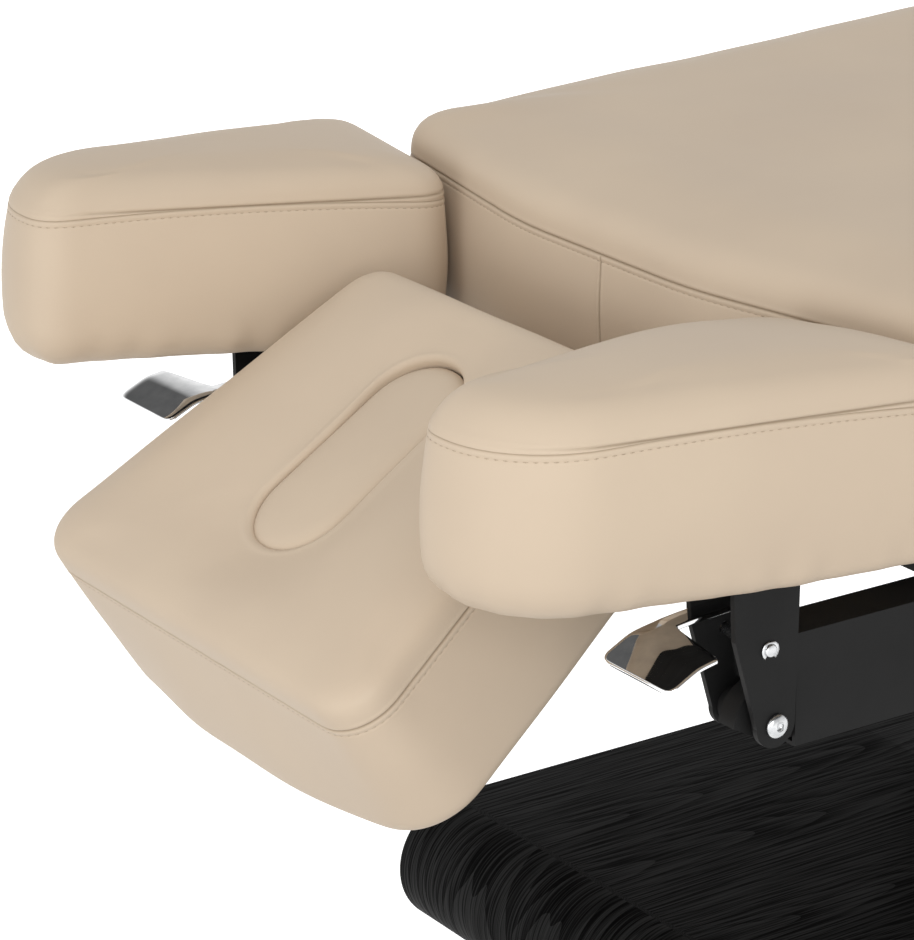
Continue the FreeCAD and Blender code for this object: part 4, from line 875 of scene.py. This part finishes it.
cushions = (
    Cushion(
        "back_cushion_cover", "back", "back_cushion", back_plan, seam=722, crown=40, reach=90, dome=3,
        lean=28 / 742, lean_x=-548, joints=((back_plan.nearest(-548, 2), 0.1),), shape=drawn_onto(HIP, 1),
        seed=11, **SECTION),
    Cushion(
        "seat_cushion_cover", "chassis", "seat_cushion", seat_plan, seam=750, crown=37, reach=86, seed=21,
        **SECTION),
    Cushion(
        "leg_cushion_cover", "leg", "leg_cushion", leg_plan, seam=750, crown=37, reach=86,
        shape=drawn_onto(KNEE, -1), seed=31, **SECTION),
    Cushion(
        "head_cushion_cover", "head", "head_cushion", head_plan, seam=726, bottom=600, crown=32, reach=60,
        bulge=2.5, turn=18, cap=4, dome=2, recess=3, foot_plan=head_foot_plan, well_plan=well_plan,
        well_dip=10, well_reach=38, place=head_place, seed=41),
    Cushion(
        "face_plug_cover", "face_plug", "face_plug_cushion", plug_plan, seam=740, bottom=613, crown=9,
        reach=34, bulge=0.4, turn=6, cap=1.5, fill=0.7, dome=3, pucker=0.1, shoulder=0.5, lean=-0.03,
        lean_x=-715, place=head_place, seed=51),
    Cushion(
        "armrest_cover_right", "armrest_right", "armrest_cushion_right", arm_right_plan,
        dips=((-565, -225, 55, 13),), place=turned(ARM_PIVOT, TILT["right"]), seed=61, **ARMREST),
    Cushion(
        "armrest_cover_left", "armrest_left", "armrest_cushion_left", arm_left_plan,
        joints=((arm_left_plan.nearest(-551, 222), 0.0),), place=turned(ARM_PIVOT, TILT["left"]), seed=71,
        **ARMREST),
)
for cushion in cushions:
    cover, sewing = cushion.build()
    dress(cover, "beige_leatherette", cushion.body, cushion.node)
    dress(sewing, "beige_leatherette", cushion.body, material=thread_beige)


# Release levers: a bent strip with a wide paddle, on an ear that turns about the pin

# The pin's place in an armrest that isn't tilted, and the strip's bends as steps from it
PIN = (-651.0, 529.0)
LEVER_BENDS = ((-3, 31), (-51, 27.5), (-80, 24), (-95, 21), (-121, 7.5))
LEVER_IN = 303.0
LEVER_OUT = 385.0
LEVER_NECK = 322.0
LEVER_TIP = 9.0
PADDLE = 58.0
PADDLE_SWING = 13.0
STRIP = 4.5
EAR = (
    (-6, -28), (4, -28), (7, -14), (10, 0), (3, 12), (-4, 28), (-14, 27.5), (-12, 12), (-10, 0), (-8, -14))
EAR_SIDES = (322.0, 314.0)


def eased_path(bends, ease, count):
    """An open path through bends, resampled at even steps and smoothed by a Gaussian of length ease, with
    the path mirrored through each end so that its ends stay."""
    path = np.array(bends, float)
    steps = lengths(path)
    even = np.linspace(0, steps[-1], count)
    line = sampled(even, steps, path)
    here, other = even[:, None] / ease, even[None] / ease
    parts = (
        (here - other, line),
        (here + other, 2 * line[:1] - line),
        (here + other - 2 * steps[-1] / ease, 2 * line[-1:] - line))
    weights = [np.exp(-0.5 * off ** 2) for off, _ in parts]
    total = sum(weights).sum(axis=1, keepdims=True)
    return sum(weight @ points for weight, (_, points) in zip(weights, parts)) / total, even


def lever(side):
    """A strip carried along its bends: each section is a flat superellipse from the inner to the outer
    edge, the outer edge swings out from neck to paddle along a smooth step, and the tip is rounded."""
    line, even = eased_path(LEVER_BENDS, 4, 110)
    from_tip = even[-1] - even
    corner = np.clip(LEVER_TIP - from_tip, 0, LEVER_TIP)
    tuck = LEVER_TIP - np.sqrt(np.maximum(LEVER_TIP ** 2 - corner ** 2, 0))
    inner = LEVER_IN + tuck
    outer = LEVER_NECK + (LEVER_OUT - LEVER_NECK) * smooth((PADDLE - from_tip) / PADDLE_SWING) - tuck
    turn = np.linspace(0, 2 * np.pi, 40, endpoint=False)
    wide = np.sign(np.cos(turn)) * np.abs(np.cos(turn)) ** 0.16
    thick = np.sign(np.sin(turn)) * np.abs(np.sin(turn)) ** 0.55
    ahead = np.gradient(line, axis=0)
    ahead /= np.linalg.norm(ahead, axis=1, keepdims=True)
    up = np.stack((ahead[:, 1], -ahead[:, 0]), axis=-1)
    across = (outer + inner)[:, None] / 2 + (outer - inner)[:, None] / 2 * wide
    rise = thick * STRIP / 2 - STRIP / 2
    x = PIN[0] + line[:, :1] + up[:, :1] * rise
    z = PIN[1] + line[:, 1:] + up[:, 1:] * rise
    strip = np.dstack((x, side * across, z))
    ear_x, ear_z = (np.array(EAR) + PIN).T
    ear = np.stack([np.stack((ear_x, np.full(len(EAR), side * y), ear_z), axis=-1) for y in EAR_SIDES])
    return [skin_of(grid if side < 0 else grid[:, ::-1]) for grid in (strip, ear)]


# Armrest fasteners: a button-head pivot bolt with a hexagon socket, and the lever's pin with its clip

OUTER_FACE = -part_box("armrest_plate_outer_right")[0].y / MM
INNER_END = -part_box("armrest_fasteners_right")[1].y / MM
CLIP_STEPS = 40


def lathe(profile, centre, side, sides=48, hexagon=()):
    """A profile of (distance from the axis, |y|) turned about a cross axis; the rows named in hexagon
    follow a hexagon of that inner radius instead: r / cos(a), a the angle from the nearest flat."""
    turn = np.linspace(0, 2 * np.pi, sides, endpoint=False)
    flat = (turn + np.pi / 6) % (np.pi / 3) - np.pi / 6
    radius, y = np.array(profile, float).T[..., None] * np.ones(sides)
    for row in hexagon:
        radius[row] /= np.cos(flat)
    grid = np.dstack((centre[0] + radius * np.cos(turn), side * y, centre[1] + radius * np.sin(turn)))
    return skin_of(grid[:, ::-1] if side < 0 else grid)


def clip(centre, y, side):
    """An open retaining ring: a flat band 1.2 mm thick between radius 4.4 and 7.6, over 285 degrees, and
    narrower in its middle by a bell."""
    sweep = np.radians(np.linspace(-55, 230, CLIP_STEPS))
    inner = np.full(CLIP_STEPS, 4.4)
    outer = 7.6 - 1.1 * hump(sweep - sweep.mean(), 0.5)
    radius = np.stack((inner, outer, outer, inner), axis=1)
    depth = np.array((0.0, 0.0, 1.2, 1.2)) + 0 * radius
    sweep = sweep[:, None]
    grid = np.dstack((
        centre[0] + radius * np.cos(sweep), side * (y + depth), centre[1] + radius * np.sin(sweep)))
    return skin_of(grid if side < 0 else grid[:, ::-1])


def fasteners(side):
    """The bolt from the floor of its socket over its dome, 9.5 cos(a)^0.8 wide and 4.3 sin(a) high, along
    its shank to a hexagon nut, the pin with its chamfers, and the pin's clip."""
    face, end = OUTER_FACE, INNER_END
    angles = np.radians(np.linspace(72, 0, 9))
    bolt = [(0.3, face + 2.6), (3.1, face + 2.6), (3.1, face + 5.0), (3.5, face + 5.45)]
    bolt += [(9.5 * math.cos(a) ** 0.8, face + 1.2 + 4.3 * math.sin(a)) for a in angles]
    bolt += [(9.5, face), (5.0, face - 0.1), (5.0, end + 9.0), (9.0, end + 8.8), (9.0, end + 1.4),
             (5.0, end + 0.4), (4.2, end), (0.3, end)]
    nut = (len(bolt) - 5, len(bolt) - 4)
    pin = [(0.3, face + 3.0), (4.0, face + 3.0), (4.9, face + 2.3), (4.9, end + 4.5), (4.0, end + 3.8),
           (0.3, end + 3.8)]
    return [
        lathe(bolt, ARM_PIVOT, side, hexagon=(1, 2) + nut), lathe(pin, PIN, side),
        clip(PIN, face + 0.1, side)]


for name, skins_of, slot, body, node in (
        ("lever_{}_strip", lever, "polished_steel", "lever_{}", "release_lever_{}"),
        ("armrest_bolts_{}", fasteners, "bright_steel", "armrest_{}", "armrest_fasteners_{}")):
    for side, hand in ((-1, "right"), (1, "left")):
        tilted = turned(ARM_PIVOT, TILT[hand])
        skins = [(tilted(points), quads, triangles) for points, quads, triangles in skins_of(side)]
        dress(joined(name.format(hand), skins), slot, body.format(hand), node.format(hand))


# Base wrap: veneered board bent round both ends, its edges eased

WRAP_WALL = 18.0
WRAP_EASE = 2.0


def base_wrap():
    """A closed ring of board: the outline is two flats joined by half circles, carried from one side of
    the base to the other outside and back inside, with a 2 mm round at each edge. The lifting columns go
    through two slots in its top: there the outer and inner cells of the grid are left out, and four
    strips join the two skins. Its grain attribute is the distance along the outline and across it."""
    low, high = (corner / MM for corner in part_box("base_wrap"))
    radius = (high[2] - low[2]) / 2
    middle = (high[2] + low[2]) / 2
    half = (high[1] - low[1]) / 2
    straight = high[0] - low[0] - 2 * radius
    arc = math.pi * radius
    slots = [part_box("column_outer_" + end) for end in ("head", "foot")]
    slots = [tuple(corner[0] / MM - low[0] - radius for corner in box) for box in slots]
    slot_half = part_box("column_outer_head")[1].y / MM
    flat = np.linspace(0, straight, 60, endpoint=False)
    bend = np.linspace(0, arc, 40, endpoint=False)
    clear = [all(x < near or x > far for near, far in slots) for x in flat]
    top = np.sort(np.concatenate([flat[clear]] + slots))
    along = np.concatenate((top, straight + bend, straight + arc + flat, 2 * straight + arc + bend))
    angle = np.concatenate((
        np.full(len(top), np.pi / 2), np.pi / 2 - bend / radius, np.full(len(flat), -np.pi / 2),
        -np.pi / 2 - bend / radius))
    start = np.concatenate((top, np.full(len(bend), straight), straight - flat, np.zeros(len(bend))))
    x = low[0] + radius + start
    bow = np.radians(np.linspace(0, 90, 5))
    edge = [(half - WRAP_EASE + WRAP_EASE * math.sin(a), WRAP_EASE * (1 - math.cos(a))) for a in bow]
    section = [(-y, inset) for y, inset in reversed(edge)] + [(-slot_half, 0), (slot_half, 0)] + edge
    section += [(y, WRAP_WALL) for y in (half, slot_half, -slot_half, -half)]
    y, inset = np.array(section).T[..., None]
    grid = np.dstack((
        x + (radius - inset) * np.cos(angle), y + 0 * x, middle + (radius - inset) * np.sin(angle)))
    rows, columns = grid.shape[:2]
    outer, inner = len(edge), 2 * len(edge) + 3
    keep = np.ones((rows, columns), bool)
    strips = []
    for near, _ in slots:
        here = int(np.searchsorted(top, near))
        keep[[outer, inner], here] = False
        lower, upper = outer * columns + here, inner * columns + here
        ring = np.array((lower, lower + columns, lower + columns + 1, lower + 1))
        inside = np.array((upper + columns, upper, upper + 1, upper + columns + 1))
        strips.append(np.stack((ring, np.roll(ring, -1), np.roll(inside, -1), inside), axis=-1))
    quads = np.vstack([grid_quads(rows, columns, True)[keep.ravel()]] + strips)
    piece = make_piece("base_wrap_veneer", grid.reshape(-1, 3), quads)
    grain = piece.data.attributes.new("grain", "FLOAT_VECTOR", "POINT")
    values = np.dstack((along + 0 * y, y + 0 * x, 0 * y + 0 * x))
    grain.data.foreach_set("vector", values.astype(np.float32).ravel())
    return piece


dress(base_wrap(), "black_ash_veneer", "base", "base_wrap", material=ash_wrapped)


# Studio: white floor and ground, a broad soft light from the near side and a weak one before the head

WHITE = (1.0, 1.0, 1.0, 1.0)
SOFT_LIGHT = 0.83
FLOOR_HALF = 40000.0
FLOOR_LIFT = 0.86


def white_ground():
    """White where it is seen directly or through glass, a soft even light elsewhere, and in mirrors a white
    wall that ends about 27 degrees up under a dim ceiling."""
    world = bpy.data.worlds.new("studio")
    bpy.context.scene.world = world
    world.use_nodes = True
    tree = world.node_tree
    tree.nodes.clear()
    ray = add(tree, "LightPath")
    split = add(tree, "SeparateXYZ", {"Vector": (add(tree, "TexCoord"), "Generated")})
    wall = add(tree, "MapRange", {
        "Value": (split, "Z"), "From Min": 0.38, "From Max": 0.54, "To Min": 1.0, "To Max": 0.12})
    seen = add(tree, "Math", {
        0: (ray, "Is Camera Ray"), 1: (ray, "Is Transmission Ray")}, operation="MAXIMUM")
    over = add(tree, "Math", {0: (wall, 0), 1: SOFT_LIGHT}, operation="SUBTRACT")
    mirrored = add(tree, "Math", {
        0: (ray, "Is Glossy Ray"), 1: (over, 0), 2: SOFT_LIGHT}, operation="MULTIPLY_ADD")
    strength = add(tree, "Math", {0: (seen, 0), 1: (mirrored, 0)}, operation="MAXIMUM")
    light = add(tree, "Background", {"Color": WHITE, "Strength": (strength, 0)})
    add(tree, "OutputWorld", {"Surface": (light, 0)})


def floor():
    """A wide white floor that keeps the bed's shadow and otherwise runs into the white ground."""
    corners = FLOOR_HALF * np.array(((-1, -1, 0), (1, -1, 0), (1, 1, 0), (-1, 1, 0)))
    piece = make_piece("studio_floor", corners, np.array(((0, 1, 2, 3),)))
    material, tree, shader = start_material("floor_white_matt", Roughness=0.9, Specular_IOR_Level=0.1)
    place = (add(tree, "TexCoord"), "Object")
    cloud = add(tree, "TexNoise", {"Vector": place, "Scale": per_mm(900)})
    tone = add(tree, "ValToRGB", {"Fac": (cloud, "Fac")}, stops=((0.3, "#DADADA"), (0.7, "#DEDEDE")))
    ray = add(tree, "LightPath")
    seen = add(tree, "Math", {0: (ray, "Is Camera Ray"), 1: (ray, "Is Glossy Ray")}, operation="MAXIMUM")
    lift = add(tree, "Math", {0: (seen, 0), 1: FLOOR_LIFT}, operation="MULTIPLY")
    wire(tree, shader, {
        "Base Color": (tone, "Color"), "Emission Color": WHITE, "Emission Strength": (lift, 0)})
    piece.data.materials.append(material)


def stand(right, up, ahead, spot):
    """The matrix of a lamp or camera at spot that looks ahead."""
    rows = np.column_stack((right, up, -np.asarray(ahead), spot))
    return Matrix(rows.tolist() + [[0, 0, 0, 1]])


def area_light(name, spot, aim, width, height, power):
    """A plain rectangular lamp at spot that shines at aim."""
    lamp = bpy.data.lights.new(name, "AREA")
    lamp.shape = "RECTANGLE"
    lamp.size = width
    lamp.size_y = height
    lamp.energy = power
    item = bpy.data.objects.new(name, lamp)
    bpy.context.scene.collection.objects.link(item)
    spot, aim = np.array(spot), np.array(aim)
    ahead = (aim - spot) / np.linalg.norm(aim - spot)
    right = np.cross(ahead, (0, 0, 1))
    right /= np.linalg.norm(right)
    up = np.cross(right, ahead)
    item.matrix_world = stand(right, up, ahead, spot)


# The photograph's camera: focal length and longer side in pixels, angles in radians, place in metres
FOCAL = 3915.58
LONG_SIDE = 940.0
YAW = 0.971079
PITCH = 0.342438
CAMERA_SPOT = (-2.30045, -2.36183, 1.59140)
SENSOR = 36.0


def camera():
    """A camera at CAMERA_SPOT that looks YAW round from the foot's direction and PITCH down."""
    ahead = np.array((
        math.cos(YAW) * math.cos(PITCH), math.sin(YAW) * math.cos(PITCH), -math.sin(PITCH)))
    right = np.array((math.sin(YAW), -math.cos(YAW), 0.0))
    up = np.cross(right, ahead)
    lens = bpy.data.cameras.new("photo_camera")
    lens.sensor_fit = "AUTO"
    lens.sensor_width = SENSOR
    lens.lens = FOCAL * SENSOR / LONG_SIDE
    lens.clip_start = 0.05
    lens.clip_end = 200.0
    item = bpy.data.objects.new("photo_camera", lens)
    bpy.context.scene.collection.objects.link(item)
    item.matrix_world = stand(right, up, ahead, CAMERA_SPOT)
    bpy.context.scene.camera = item


white_ground()
floor()
area_light("key_soft", (-3.1, -4.0, 2.0), (-0.5, 0.0, 0.6), 3.0, 2.4, 86)
area_light("head_soft", (-3.6, -0.6, 0.6), (-0.6, 0.0, 0.55), 1.8, 1.4, 14)
camera()
bpy.context.scene.view_settings.view_transform = "Standard"
